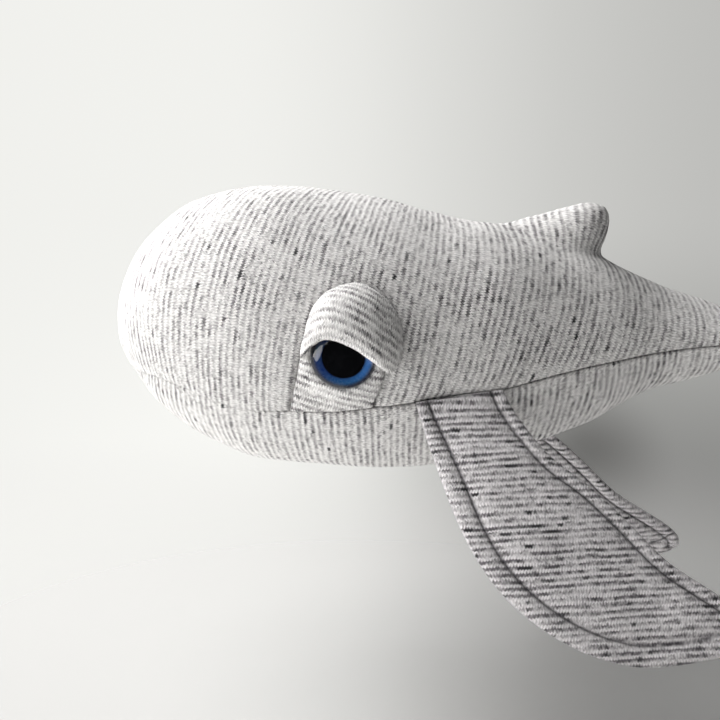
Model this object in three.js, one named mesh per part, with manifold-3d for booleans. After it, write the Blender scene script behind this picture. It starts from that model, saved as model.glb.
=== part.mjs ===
/**
 * A stuffed whale sewn from striped jersey.
 *
 * Millimetres. +X runs from nose to tail, +Y to the whale's right and +Z up. The origin is the middle of
 * the flat on its belly. Every soft form is worked out from one set of body sections: the skin is the
 * space between two of them, the stuffing fills a third, and whatever is sewn on is cut by the first.
 */
import * as THREE from 'three';
import { mergeVertices } from 'three/addons/utils/BufferGeometryUtils.js';
import Module from 'manifold-3d';

// Body
const BODY_LENGTH = 307;
const NOSE_REACH = 115;
const HEAD_HEIGHT = 133.7;
const HEAD_WIDTH = 131;
const BELLY_FLAT_DEPTH = 0.5;
const SKIN = 1.2;
const SEW_GAP = 0.3;
const OVERRUN = 20;

// Dorsal lobe, cut in one with the back panels
const LOBE_LENGTH = 45.5;
const LOBE_HEIGHT = 52;
const LOBE_WIDTH = 30;
const LOBE_LEAN = 40.7;

// Eyes
const EYE_DIAMETER = 28;
const EYE_DOME = 9.8;
const EYE_RIM = 0.7;
const PUPIL_DIAMETER = 18.4;
const IRIS_THICKNESS = 0.8;
const FLANGE_THICKNESS = 1.5;
const PUPIL_RAISE = 1.5;
const POST_DIAMETER = 6;
const POST_LENGTH = 9;
const WASHER_DIAMETER = 17;
const WASHER_THICKNESS = 1.6;

// Eyelids
const LID_WIDTH = 42.8;
const LID_HEIGHT = 39.2;
const LID_PUFF = 14.8;
const LID_CLOTH = 1.2;
const LID_FOOT = 4;

// Pectoral fins
const FIN_ROOT = 37.5;
const FIN_SWEEP = 120.5;
const FIN_REACH = 123.5;
const FIN_THICKNESS = 7;
const FIN_SPLAY = 20;
const FRONT_CHANNEL = 8.5;
const REAR_CHANNEL = 5.6;

// Fluke
const FLUKE_SPAN = 152;
const FLUKE_LENGTH = 64;
const FLUKE_THICKNESS = 6.6;
const FLUKE_CHANNEL = 7;

// Sewn edges of the fins and the fluke
const CLOTH = 1;
const ROOT_THICKNESS = 3.2;
const CHANNEL_THICKNESS = 3.4;
const EDGE_ROLL = 4.6;

// Facets
const BODY_SIDES = 22;
const LOBE_SIDES = 14;
const EYE_SIDES = 20;
const DOME_STEPS = 4;

// Along the body: [distance behind the nose, top, bottom, half width]
const bodyShares = [
  [0.000, 0.520, 0.503, 0.015],
  [0.002, 0.572, 0.454, 0.130],
  [0.008, 0.651, 0.402, 0.290],
  [0.020, 0.718, 0.361, 0.420],
  [0.036, 0.782, 0.308, 0.542],
  [0.055, 0.834, 0.250, 0.649],
  [0.080, 0.886, 0.191, 0.754],
  [0.107, 0.930, 0.142, 0.837],
  [0.140, 0.961, 0.097, 0.898],
  [0.200, 0.995, 0.042, 0.966],
  [0.257, 1.000, 0.016, 0.992],
  [0.340, 0.979, 0.001, 0.996],
  [0.420, 0.945, 0.000, 0.966],
  [0.505, 0.895, 0.013, 0.892],
  [0.590, 0.856, 0.059, 0.786],
  [0.665, 0.816, 0.109, 0.668],
  [0.730, 0.758, 0.173, 0.559],
  [0.801, 0.676, 0.265, 0.443],
  [0.883, 0.604, 0.330, 0.366],
  [1.000, 0.520, 0.426, 0.328],
];

// The seam of mouth and belly: [distance behind the nose, height]
const seamShares = [
  [0.000, 0.352], [0.068, 0.348], [0.114, 0.324], [0.141, 0.303], [0.167, 0.277], [0.193, 0.257],
  [0.219, 0.243], [0.245, 0.237], [0.300, 0.241], [0.363, 0.247], [0.405, 0.259], [0.474, 0.275],
  [0.537, 0.297], [0.593, 0.316], [0.658, 0.354], [0.730, 0.390], [0.824, 0.426], [0.928, 0.453],
  [1.000, 0.469],
];

// The lobe's foot inside the body, and its sections: [distance up the lobe, half height, half width]
const lobeFootShares = { along: 0.635, height: 0.692 };
const lobeShares = [
  [0.00, 1.00, 0.93], [0.26, 0.87, 1.00], [0.53, 0.65, 0.93], [0.74, 0.46, 0.80], [0.88, 0.31, 0.60],
  [0.97, 0.15, 0.32], [1.00, 0.02, 0.03],
];

// Where the eye sits on the body, and the patch round it in shares of the eye's diameter
const eyePlaceShares = { along: 0.371, height: 0.435 };
const patchShares = [
  [-0.668, -0.007], [-0.696, -0.186], [-0.729, -0.346], [-0.886, -1.025], [0.411, -1.025], [0.432, -0.761],
  [0.529, -0.536], [0.593, -0.318], [0.539, 0.082], [0.325, 0.296], [-0.318, 0.296],
];

// Across the eyelid, measured from the eye: [along, seam above, free edge below, puff]
const lidStartShare = -0.425;
const lidEndShare = 0.3;
const lidShares = [
  [0.000, 0.005, -0.036, 0.095], [0.030, 0.178, 0.003, 0.340], [0.120, 0.480, 0.105, 0.660],
  [0.300, 0.705, 0.193, 0.925], [0.521, 0.773, 0.110, 1.000], [0.720, 0.722, -0.030, 0.935],
  [0.880, 0.560, -0.185, 0.700], [0.968, 0.355, -0.060, 0.370], [1.000, 0.217, 0.125, 0.095],
];
// One section of the eyelid, from the seam over the puff and round the rolled rim: [height, puff], with
// a share below 0 for the foot that is sunk into the body and cut off by it
const lidSectionShares = [
  [0.97, -1.00], [1.00, 0.02], [0.90, 0.48], [0.64, 0.83], [0.30, 1.00], [0.05, 0.93], [0.00, 0.76],
  [0.08, 0.45], [0.10, -1.00],
];

// A fin from its root to its tip: [front edge along, front edge down, rear edge along, rear edge down]
const finShares = [
  [0.000, 0.000, 0.000, 0.000], [0.010, 0.100, 0.050, 0.102], [0.032, 0.265, 0.165, 0.256],
  [0.066, 0.445, 0.325, 0.372], [0.117, 0.595, 0.488, 0.522], [0.188, 0.715, 0.625, 0.660],
  [0.310, 0.842, 0.770, 0.755], [0.455, 0.935, 0.885, 0.828], [0.620, 0.990, 0.968, 0.897],
  [0.790, 0.998, 0.985, 0.950],
];
const finPlaceShare = 0.468;

// The fluke across its span: [place across, leading edge, trailing edge]
const flukeShares = [
  [-1.00, 0.80, 0.86], [-0.95, 0.68, 0.94], [-0.75, 0.39, 1.00], [-0.50, 0.17, 0.97], [-0.27, 0.02, 0.86],
  [0.00, 0.00, 0.72], [0.27, 0.02, 0.86], [0.50, 0.17, 0.97], [0.75, 0.39, 1.00], [0.95, 0.68, 0.94],
  [1.00, 0.80, 0.86],
];

// The sewn root of a fin or fluke, thinned to turn on its seam: [distance in, half thickness]
const rootRoundShares = [[0.00, 0.34], [0.38, 0.78], [1.00, 1.00], [3.10, 1.15]];
// How fast a fin may thicken past its root
const rootEaseShare = 0.35;

// The sewn edge from the rim to the flat of a fin, in shares of the channel's distance from the edge
const edgeShares = { rise: 0.25, crest: 0.55, slope: 1.8, flat: 3.2 };
const edgeRiseShare = 0.88;
// Rows across a fin, in the same shares, and how far they spread where the fin is narrow
const clothStepShares = [0, 0.45, 1, 1.8];
const battingStepShares = [0.9, 1.8];
const narrowStepShare = 0.2;

const cloth = { color: 0xc9c6c4, roughness: 0.95, metalness: 0 };
const FINISH = {
  back: new THREE.MeshStandardMaterial(cloth),
  belly: new THREE.MeshStandardMaterial({ ...cloth, color: 0xc4c1c0 }),
  patch: new THREE.MeshStandardMaterial({ ...cloth, color: 0xbfbcbb }),
  lid: new THREE.MeshStandardMaterial({ ...cloth, color: 0xcdcac8 }),
  fin: new THREE.MeshStandardMaterial({ ...cloth, color: 0xc6c2c1 }),
  fill: new THREE.MeshStandardMaterial({ color: 0xf2f1ec, roughness: 1, metalness: 0 }),
  lens: new THREE.MeshStandardMaterial({
    color: 0xe9f1f5, roughness: 0.05, metalness: 0, transparent: true, opacity: 0.35,
  }),
  iris: new THREE.MeshStandardMaterial({ color: 0x4f7fb4, roughness: 0.3, metalness: 0.2 }),
  pupil: new THREE.MeshStandardMaterial({ color: 0x0c0c10, roughness: 0.25, metalness: 0 }),
  washer: new THREE.MeshStandardMaterial({ color: 0xe8e8e4, roughness: 0.5, metalness: 0 }),
};

const wasm = await Module();
wasm.setup();

/** A manifold solid from a closed geometry. */
function solidOf(geometry) {
  const bare = geometry.clone();
  bare.deleteAttribute('normal');
  bare.deleteAttribute('uv');
  const merged = mergeVertices(bare);
  return new wasm.Manifold(new wasm.Mesh({
    numProp: 3,
    vertProperties: new Float32Array(merged.attributes.position.array),
    triVerts: new Uint32Array(merged.index.array),
  }));
}

/** The geometry of a manifold solid. */
function geometryOf(solid) {
  const mesh = solid.getMesh();
  const geometry = new THREE.BufferGeometry();
  geometry.setAttribute('position', new THREE.BufferAttribute(new Float32Array(mesh.vertProperties), 3));
  geometry.setIndex(new THREE.BufferAttribute(new Uint32Array(mesh.triVerts), 1));
  geometry.computeVertexNormals();
  return geometry;
}

/** An indexed geometry whose faces point out, whichever way round its triangles came. */
function closedGeometry(points, triangles) {
  let volume = 0;
  const normal = new THREE.Vector3();
  for (const [a, b, c] of triangles) {
    volume += points[a].dot(normal.crossVectors(points[b], points[c]));
  }
  const index = volume > 0 ? triangles.flat() : triangles.flatMap(([a, b, c]) => [a, c, b]);
  const geometry = new THREE.BufferGeometry();
  const flat = points.flatMap((p) => [p.x, p.y, p.z]);
  geometry.setAttribute('position', new THREE.Float32BufferAttribute(flat, 3));
  geometry.setIndex(index);
  geometry.computeVertexNormals();
  return geometry;
}

/**
 * A closed skin over rings of equally many points, with a fan across each end. The two halves of a ring
 * are split into triangles as mirror images of each other.
 */
function loft(rings) {
  const count = rings[0].length;
  const points = rings.flat();
  const triangles = [];
  for (let row = 0; row + 1 < rings.length; row += 1) {
    for (let i = 0; i < count; i += 1) {
      const j = (i + 1) % count;
      const a = row * count + i;
      const b = row * count + j;
      if (i < count / 2) {
        triangles.push([a, b, b + count], [a, b + count, a + count]);
      } else {
        triangles.push([a, b, a + count], [b, b + count, a + count]);
      }
    }
  }
  for (const [row, flip] of [[0, true], [rings.length - 1, false]]) {
    const middle = new THREE.Vector3();
    rings[row].forEach((p) => middle.addScaledVector(p, 1 / count));
    const tip = points.push(middle) - 1;
    for (let i = 0; i < count; i += 1) {
      const a = row * count + i;
      const b = row * count + ((i + 1) % count);
      triangles.push(flip ? [b, a, tip] : [a, b, tip]);
    }
  }
  return closedGeometry(points, triangles);
}

/** A closed slab between two grids of points with the same rows and columns. */
function slab(upper, lower) {
  const rows = upper.length;
  const columns = upper[0].length;
  const points = [...upper.flat(), ...lower.flat()];
  const under = rows * columns;
  const triangles = [];
  for (let i = 0; i + 1 < rows; i += 1) {
    for (let j = 0; j + 1 < columns; j += 1) {
      const a = i * columns + j;
      const b = a + columns;
      triangles.push([a, a + 1, b + 1], [a, b + 1, b]);
      triangles.push([under + a, under + b + 1, under + a + 1], [under + a, under + b, under + b + 1]);
    }
  }
  const rim = [];
  for (let j = 0; j + 1 < columns; j += 1) rim.push(j);
  for (let i = 0; i + 1 < rows; i += 1) rim.push(i * columns + columns - 1);
  for (let j = columns - 1; j > 0; j -= 1) rim.push((rows - 1) * columns + j);
  for (let i = rows - 1; i > 0; i -= 1) rim.push(i * columns);
  rim.forEach((a, k) => {
    const b = rim[(k + 1) % rim.length];
    triangles.push([b, a, under + a], [b, under + a, under + b]);
  });
  return closedGeometry(points, triangles);
}

/** A curve through the first column of a table and another one, with no overshoot between its rows. */
function curveThrough(table, column) {
  const x = table.map((row) => row[0]);
  const y = table.map((row) => row[column]);
  const rise = x.slice(1).map((next, i) => (y[i + 1] - y[i]) / (next - x[i]));
  const slope = x.map((_, i) => {
    if (i === 0) return rise[0];
    if (i === rise.length) return rise[i - 1];
    const [before, after] = [rise[i - 1], rise[i]];
    return before * after > 0 ? (2 * before * after) / (before + after) : 0;
  });
  return (at) => {
    const last = x.length - 2;
    let i = x.findIndex((value) => value > at) - 1;
    if (i < -1) i = last;
    i = THREE.MathUtils.clamp(i, 0, last);
    const step = x[i + 1] - x[i];
    const t = THREE.MathUtils.clamp((at - x[i]) / step, 0, 1);
    const bend = t * t * (3 - 2 * t);
    const lead = t * (1 - t) * (1 - t) * step * slope[i];
    const trail = t * t * (1 - t) * step * slope[i + 1];
    return y[i] + (y[i + 1] - y[i]) * bend + lead - trail;
  };
}

const topCurve = curveThrough(bodyShares, 1);
const bottomCurve = curveThrough(bodyShares, 2);
const widthCurve = curveThrough(bodyShares, 3);
const seamCurve = curveThrough(seamShares, 1);

/** Heights are shares of the head's height, above the belly's lowest point before it was cut flat. */
function heightAt(share) {
  return share * HEAD_HEIGHT - BELLY_FLAT_DEPTH;
}

function alongAt(share) {
  return share * BODY_LENGTH - NOSE_REACH;
}

/** The body's elliptic section at a share of its length. */
function sectionAt(share) {
  const top = heightAt(topCurve(share));
  const bottom = heightAt(bottomCurve(share));
  const width = (widthCurve(share) * HEAD_WIDTH) / 2;
  return { middle: (top + bottom) / 2, half: (top - bottom) / 2, width };
}

/** A radius drawn in by an inset, or let out by a negative one, that never crosses zero. */
function drawIn(radius, inset) {
  return (radius * radius) / (radius + inset);
}

/** The body's form, drawn in by an inset on every side. */
function bodyForm(inset) {
  const front = alongAt(0) + inset;
  const length = BODY_LENGTH - 2 * inset;
  const rings = bodyShares.map(([share]) => {
    const { middle, half, width } = sectionAt(share);
    return Array.from({ length: BODY_SIDES }, (_, i) => {
      const turn = ((i + 0.5) / BODY_SIDES) * 2 * Math.PI;
      const y = drawIn(width, inset) * Math.sin(turn);
      const z = middle + drawIn(half, inset) * Math.cos(turn);
      return new THREE.Vector3(front + share * length, y, z);
    });
  });
  return solidOf(loft(rings));
}

/** The dorsal lobe's form: ellipses along an axis that leans back out of the body. */
function lobeForm(inset) {
  const lean = THREE.MathUtils.degToRad(LOBE_LEAN);
  const along = new THREE.Vector3(Math.cos(lean), 0, Math.sin(lean));
  const across = new THREE.Vector3(-Math.sin(lean), 0, Math.cos(lean));
  const side = new THREE.Vector3(0, 1, 0);
  const foot = new THREE.Vector3(alongAt(lobeFootShares.along), 0, heightAt(lobeFootShares.height));
  const rings = lobeShares.map(([share, half, width]) => Array.from({ length: LOBE_SIDES }, (_, i) => {
    const turn = (i / LOBE_SIDES) * 2 * Math.PI;
    const rise = drawIn((half * LOBE_HEIGHT) / 2, inset) * Math.cos(turn);
    const spread = drawIn((width * LOBE_WIDTH) / 2, inset) * Math.sin(turn);
    return foot.clone()
      .addScaledVector(along, share * (LOBE_LENGTH - inset))
      .addScaledVector(across, rise)
      .addScaledVector(side, spread);
  }));
  return solidOf(loft(rings));
}

/** Body and lobe as one form. */
function wholeForm(inset) {
  return bodyForm(inset).add(lobeForm(inset));
}

/** A straight prism of an outline in X and Z, running from one Y to another. */
function prism(outline, from, to) {
  const shape = new THREE.Shape(outline.map(([x, z]) => new THREE.Vector2(x, z)));
  const geometry = new THREE.ExtrudeGeometry(shape, { depth: to - from, bevelEnabled: false });
  geometry.rotateX(Math.PI / 2);
  geometry.translate(0, to, 0);
  return solidOf(geometry);
}

/** The half width of the body at a place on its side. */
function sideAt(x, z) {
  const { middle, half, width } = sectionAt((x + NOSE_REACH) / BODY_LENGTH);
  const rise = THREE.MathUtils.clamp((z - middle) / half, -1, 1);
  return width * Math.sqrt(1 - rise * rise);
}

/** A point on the whale's left side, and the direction that the skin faces there. */
function leftSkin(x, z) {
  const probe = SKIN / 2;
  const slopeX = (sideAt(x + probe, z) - sideAt(x - probe, z)) / (2 * probe);
  const slopeZ = (sideAt(x, z + probe) - sideAt(x, z - probe)) / (2 * probe);
  return {
    point: new THREE.Vector3(x, -sideAt(x, z), z),
    facing: new THREE.Vector3(-slopeX, -1, -slopeZ).normalize(),
  };
}

const reach = HEAD_WIDTH / 2 + OVERRUN;
const ceiling = HEAD_HEIGHT + LOBE_HEIGHT;
const seamLine = [
  [alongAt(0) - OVERRUN, heightAt(seamCurve(0))],
  ...seamShares.map(([share, height]) => [alongAt(share), heightAt(height)]),
  [alongAt(1) + OVERRUN, heightAt(seamCurve(1))],
];

/** Everything above or below the seam, half a sewing gap clear of it. */
function besideSeam(above, from, to) {
  const shift = above ? SEW_GAP / 2 : -SEW_GAP / 2;
  const far = above ? ceiling : -OVERRUN;
  const line = seamLine.map(([x, z]) => [x, z + shift]);
  const outline = [...line, [line[line.length - 1][0], far], [line[0][0], far]];
  return prism(outline, from, to);
}

// Eyes are built on their own axis, +Z out of the skin, and turned to face the way that the skin does.
const eyeX = alongAt(eyePlaceShares.along);
const eyeZ = heightAt(eyePlaceShares.height);
const eyeSeat = leftSkin(eyeX, eyeZ);
const eyeTurn = new THREE.Matrix4().makeRotationFromQuaternion(
  new THREE.Quaternion().setFromUnitVectors(new THREE.Vector3(0, 0, 1), eyeSeat.facing),
).setPosition(eyeSeat.point);

function turned(profile) {
  const points = profile.map(([radius, height]) => new THREE.Vector2(radius, height));
  const geometry = new THREE.LatheGeometry(points, EYE_SIDES);
  geometry.rotateX(Math.PI / 2);
  return geometry;
}

/** Points of the dome from its rim to its crown, let out all round by a clearance. */
function domeProfile(base, clearance) {
  const radius = EYE_DIAMETER / 2 + clearance;
  const rise = EYE_DOME + clearance - base;
  return Array.from({ length: DOME_STEPS + 1 }, (_, i) => {
    const turn = (i / DOME_STEPS) * (Math.PI / 2);
    return [radius * Math.cos(turn), base + rise * Math.sin(turn)];
  });
}

const postRadius = POST_DIAMETER / 2;
const pupilRadius = PUPIL_DIAMETER / 2;
const lensBore = EYE_DIAMETER / 2 - EYE_RIM;
const flangeRadius = lensBore - SEW_GAP;
const flangeTop = SEW_GAP + FLANGE_THICKNESS;
const irisBase = flangeTop + SEW_GAP;
const irisTop = irisBase + IRIS_THICKNESS;
const pupilTop = flangeTop + PUPIL_RAISE;
const lensSeat = Math.max(pupilTop, irisTop) + SEW_GAP;
const domeBase = flangeTop;
const washerSag = WASHER_DIAMETER ** 2 / (4 * HEAD_HEIGHT);
const facetSag = (HEAD_HEIGHT / 2) * (1 - Math.cos(Math.PI / BODY_SIDES));
const washerTop = -(SKIN + washerSag + facetSag + SEW_GAP);

const lensProfile = [
  [0, lensSeat], [lensBore, lensSeat], [lensBore, SEW_GAP], [EYE_DIAMETER / 2, SEW_GAP],
  ...domeProfile(domeBase, 0).slice(0, -1), [0, EYE_DOME],
];
const pupilProfile = [
  [0, -POST_LENGTH], [postRadius, -POST_LENGTH], [postRadius, SEW_GAP], [flangeRadius, SEW_GAP],
  [flangeRadius, flangeTop], [pupilRadius, flangeTop], [pupilRadius, pupilTop], [0, pupilTop],
];
const irisInner = pupilRadius + SEW_GAP;
const irisProfile = [
  [irisInner, irisBase], [flangeRadius, irisBase], [flangeRadius, irisTop], [irisInner, irisTop],
  [irisInner, irisBase],
];
const washerInner = postRadius + SEW_GAP;
const washerOuter = WASHER_DIAMETER / 2;
const washerProfile = [
  [washerInner, washerTop - WASHER_THICKNESS], [washerOuter, washerTop - WASHER_THICKNESS],
  [washerOuter, washerTop], [washerInner, washerTop], [washerInner, washerTop - WASHER_THICKNESS],
];

function seatedOnEye(geometry) {
  return geometry.applyMatrix4(eyeTurn);
}

/** What the eye needs left clear above the skin, with a clearance all round it. */
function eyeClearance(clearance) {
  const deep = -(SKIN + OVERRUN);
  const radius = EYE_DIAMETER / 2 + clearance;
  const profile = [[0, deep], [radius, deep], ...domeProfile(domeBase, clearance).slice(0, -1)];
  profile.push([0, EYE_DOME + clearance]);
  return solidOf(seatedOnEye(turned(profile)));
}

const postHole = solidOf(seatedOnEye(turned([
  [0, -OVERRUN], [washerInner, -OVERRUN], [washerInner, OVERRUN], [0, OVERRUN],
])));
const washerFoot = washerTop - WASHER_THICKNESS - SEW_GAP;
const postFoot = -POST_LENGTH - SEW_GAP;
const stuffingPocket = solidOf(seatedOnEye(turned([
  [0, postFoot], [washerInner, postFoot], [washerInner, washerFoot],
  [washerOuter + SEW_GAP, washerFoot], [washerOuter + SEW_GAP, OVERRUN], [0, OVERRUN],
])));

// Skin, patches and stuffing
const outside = wholeForm(0);
const lining = wholeForm(SKIN);
const stuffingForm = bodyForm(SKIN + SEW_GAP);
const lobeStuffing = lobeForm(SKIN + SEW_GAP).subtract(bodyForm(SKIN));
const clearOfBody = wholeForm(-SEW_GAP);

const farBelow = -(BELLY_FLAT_DEPTH + OVERRUN);
const ends = [alongAt(0) - OVERRUN, alongAt(1) + OVERRUN];
const flatOutline = [[ends[0], 0], [ends[1], 0], [ends[1], farBelow], [ends[0], farBelow]];
const belowFlat = prism(flatOutline, -reach, reach);
const skin = outside.subtract(lining).subtract(belowFlat);

const patchOutline = patchShares.map(([x, z]) => [eyeX + x * EYE_DIAMETER, eyeZ + z * EYE_DIAMETER]);
const patchMiddle = patchOutline.reduce(([x, z], [px, pz]) => [
  x + px / patchOutline.length, z + pz / patchOutline.length,
], [0, 0]);
/** The patch's outline moved in towards its middle by the sewing gap. */
const patchInner = patchOutline.map(([x, z]) => {
  const inward = new THREE.Vector2(patchMiddle[0] - x, patchMiddle[1] - z).setLength(SEW_GAP * Math.SQRT2);
  return [x + inward.x, z + inward.y];
});
const leftAbove = besideSeam(true, -reach, -SEW_GAP / 2);
const leftBack = skin.intersect(leftAbove).subtract(prism(patchOutline, -reach, 0)).subtract(postHole);
const leftPatch = skin.intersect(leftAbove).intersect(prism(patchInner, -reach, 0)).subtract(postHole);
const belly = skin.intersect(besideSeam(false, -reach, reach));

/** A geometry reflected to the whale's other side. */
function mirrored(geometry) {
  const copy = geometry.clone().scale(1, -1, 1);
  const index = copy.index.array;
  for (let i = 0; i < index.length; i += 3) {
    [index[i + 1], index[i + 2]] = [index[i + 2], index[i + 1]];
  }
  copy.computeVertexNormals();
  return copy;
}

const rightPocket = solidOf(mirrored(geometryOf(stuffingPocket)));
const stuffing = stuffingForm.subtract(stuffingPocket).subtract(rightPocket);

/** The eyelid's puffed form on the left side, drawn in by an inset. */
function lidForm(inset) {
  const endInset = inset * lidEndShare;
  const start = eyeX + lidStartShare * LID_WIDTH + endInset;
  const width = LID_WIDTH - 2 * endInset;
  const rings = lidShares.map(([along, above, below, puff]) => {
    const x = start + along * width;
    const centre = eyeZ + ((above + below) / 2) * LID_HEIGHT;
    const half = drawIn(((above - below) / 2) * LID_HEIGHT, inset);
    const lift = drawIn(puff * LID_PUFF, inset);
    return lidSectionShares.map(([height, out]) => {
      const z = centre + (2 * height - 1) * half;
      return new THREE.Vector3(x, -sideAt(x, z) - out * (out < 0 ? LID_FOOT : lift), z);
    });
  });
  return solidOf(loft(rings));
}

const lidCavity = lidForm(LID_CLOTH);
const lidSurroundings = clearOfBody.add(eyeClearance(SEW_GAP));
const lidCover = lidForm(0).subtract(lidCavity).subtract(lidSurroundings);
const lidWadding = lidForm(LID_CLOTH + SEW_GAP).intersect(lidCavity).subtract(lidSurroundings);

// Fins and fluke: two cloths sewn round a flat batting, with a stitched channel inside the edge
const edgeHalf = CLOTH + SEW_GAP / 2;
const rootHalf = ROOT_THICKNESS / 2;

/** Half the thickness at a distance from the nearest sewn edge. */
function quilt(distance, channel, full) {
  const roll = EDGE_ROLL / 2;
  const valley = CHANNEL_THICKNESS / 2;
  const table = [
    [0, edgeHalf], [channel * edgeShares.rise, roll * edgeRiseShare], [channel * edgeShares.crest, roll],
    [channel, valley], [channel * edgeShares.slope, (valley + full) / 2], [channel * edgeShares.flat, full],
  ];
  return curveThrough(table, 1)(distance);
}

/** Half the thickness allowed at a distance from the root seam, so that the root can turn on it. */
function rootLimit(distance) {
  const table = rootRoundShares.map(([at, half]) => [at * rootHalf, half * rootHalf]);
  const last = table[table.length - 1];
  if (distance <= last[0]) return curveThrough(table, 1)(distance);
  return last[1] + (distance - last[0]) * rootEaseShare;
}

/** Places across a line of a fin: near both edges they keep to the roll and the channel. */
function acrossPlaces(length, front, rear, steps) {
  const places = steps.map((step) => step * Math.min(front, length * narrowStepShare));
  const mirror = steps.map((step) => length - step * Math.min(rear, length * narrowStepShare));
  return [...places, length / 2, ...mirror.reverse()];
}

/**
 * The two cloths and the batting of a flat fin, in its own plane.
 * Lines are pairs of points, from the front edge to the rear edge, in order from one end to the other,
 * each with the most that it may be thick. rootDistance gives how far a point lies from the root seam.
 */
function quiltedFin({ lines, channels, full, rootDistance, battingLines }) {
  const heightOf = (point, near, far) => {
    const sides = Math.min(quilt(near, channels[0], full), quilt(far, channels[1], full));
    return Math.min(sides, rootLimit(rootDistance(point)));
  };
  const grid = (rows, steps) => rows.map(([from, to, most]) => {
    const length = from.distanceTo(to);
    return acrossPlaces(length, channels[0], channels[1], steps).map((place) => {
      const point = from.clone().lerp(to, place / length);
      return { point, half: Math.min(heightOf(point, place, length - place), most) };
    });
  });
  const cloths = grid(lines, clothStepShares);
  const at = (cell, height) => new THREE.Vector3(cell.point.x, cell.point.y, height);
  const inner = (cell) => Math.max(cell.half - CLOTH, SEW_GAP / 2);
  const upper = slab(
    cloths.map((row) => row.map((cell) => at(cell, cell.half))),
    cloths.map((row) => row.map((cell) => at(cell, inner(cell)))),
  );
  const lower = slab(
    cloths.map((row) => row.map((cell) => at(cell, -inner(cell)))),
    cloths.map((row) => row.map((cell) => at(cell, -cell.half))),
  );
  const filling = grid(battingLines, battingStepShares);
  const fill = (cell) => Math.max(inner(cell) - SEW_GAP, SEW_GAP / 2);
  const batting = slab(
    filling.map((row) => row.map((cell) => at(cell, fill(cell)))),
    filling.map((row) => row.map((cell) => at(cell, -fill(cell)))),
  );
  return { upper, lower, batting };
}

// A pectoral fin: X runs back along its root, Y down to its tip, and the plane's origin is on the hinge
const finLines = finShares.map(([frontAlong, frontDown, rearAlong, rearDown], row) => [
  new THREE.Vector2(frontAlong * FIN_SWEEP, frontDown * FIN_REACH - rootHalf),
  new THREE.Vector2(FIN_ROOT + rearAlong * (FIN_SWEEP - FIN_ROOT), rearDown * FIN_REACH - rootHalf),
  row === finShares.length - 1 ? edgeHalf : FIN_THICKNESS,
]);
const extraRoot = rootRoundShares.slice(1, -1).map(([share]) => {
  const drop = share * rootHalf;
  const lean = (finLines[1][0].x - finLines[0][0].x) / (finLines[1][0].y - finLines[0][0].y);
  return [
    new THREE.Vector2(drop * lean, drop - rootHalf),
    new THREE.Vector2(FIN_ROOT + drop * lean, drop - rootHalf),
    FIN_THICKNESS,
  ];
});
const finRows = [finLines[0], ...extraRoot, ...finLines.slice(1)];
const fin = quiltedFin({
  lines: finRows,
  channels: [FRONT_CHANNEL, REAR_CHANNEL],
  full: FIN_THICKNESS / 2,
  rootDistance: (point) => point.y + rootHalf,
  battingLines: finLines.slice(1, -1),
});

// The fluke: X runs back from its root, Y across, and the plane's origin is on the hinge
const flukeLines = flukeShares.map(([across, lead, trail], row) => [
  new THREE.Vector2(lead * FLUKE_LENGTH - rootHalf, (across * FLUKE_SPAN) / 2),
  new THREE.Vector2(trail * FLUKE_LENGTH - rootHalf, (across * FLUKE_SPAN) / 2),
  row === 0 || row === flukeShares.length - 1 ? edgeHalf : FLUKE_THICKNESS,
]);
const fluke = quiltedFin({
  lines: flukeLines,
  channels: [FLUKE_CHANNEL, FLUKE_CHANNEL],
  full: FLUKE_THICKNESS / 2,
  rootDistance: (point) => point.x + rootHalf,
  battingLines: flukeLines.slice(1, -1),
});

// The fin turns on a line just outside the seam, between the two ends of its root.
const rootStart = alongAt(finPlaceShare);
const seamHeight = (x) => heightAt(seamCurve((x + NOSE_REACH) / BODY_LENGTH));
const rootFront = leftSkin(rootStart, seamHeight(rootStart));
const rootRear = leftSkin(rootStart + FIN_ROOT, seamHeight(rootStart + FIN_ROOT));
const standOff = rootHalf + SEW_GAP + SEW_GAP;
const rootLine = rootRear.point.clone().sub(rootFront.point).normalize();
const hinge = rootFront.point.clone().addScaledVector(rootFront.facing, standOff);
const splay = THREE.MathUtils.degToRad(FIN_SPLAY);
const down = new THREE.Vector3(0, -Math.sin(splay), -Math.cos(splay));
down.addScaledVector(rootLine, -down.dot(rootLine)).normalize();
const finPlace = new THREE.Matrix4()
  .makeBasis(rootLine, down, new THREE.Vector3().crossVectors(rootLine, down))
  .setPosition(hinge);

const tailEnd = sectionAt(1);
const flukePlace = new THREE.Matrix4().setPosition(alongAt(1) + standOff, 0, tailEnd.middle);

const whale = new THREE.Group();
whale.name = 'plush_whale';

function addPiece(parent, name, geometry, material) {
  const mesh = new THREE.Mesh(geometry, material);
  mesh.name = name;
  parent.add(mesh);
  return mesh;
}

/** Adds a left piece and its mirror image on the right. */
function addPair(parent, name, geometry, material) {
  addPiece(parent, name.replace('SIDE', 'left'), geometry, material);
  addPiece(parent, name.replace('SIDE', 'right'), mirrored(geometry), material);
}

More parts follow.
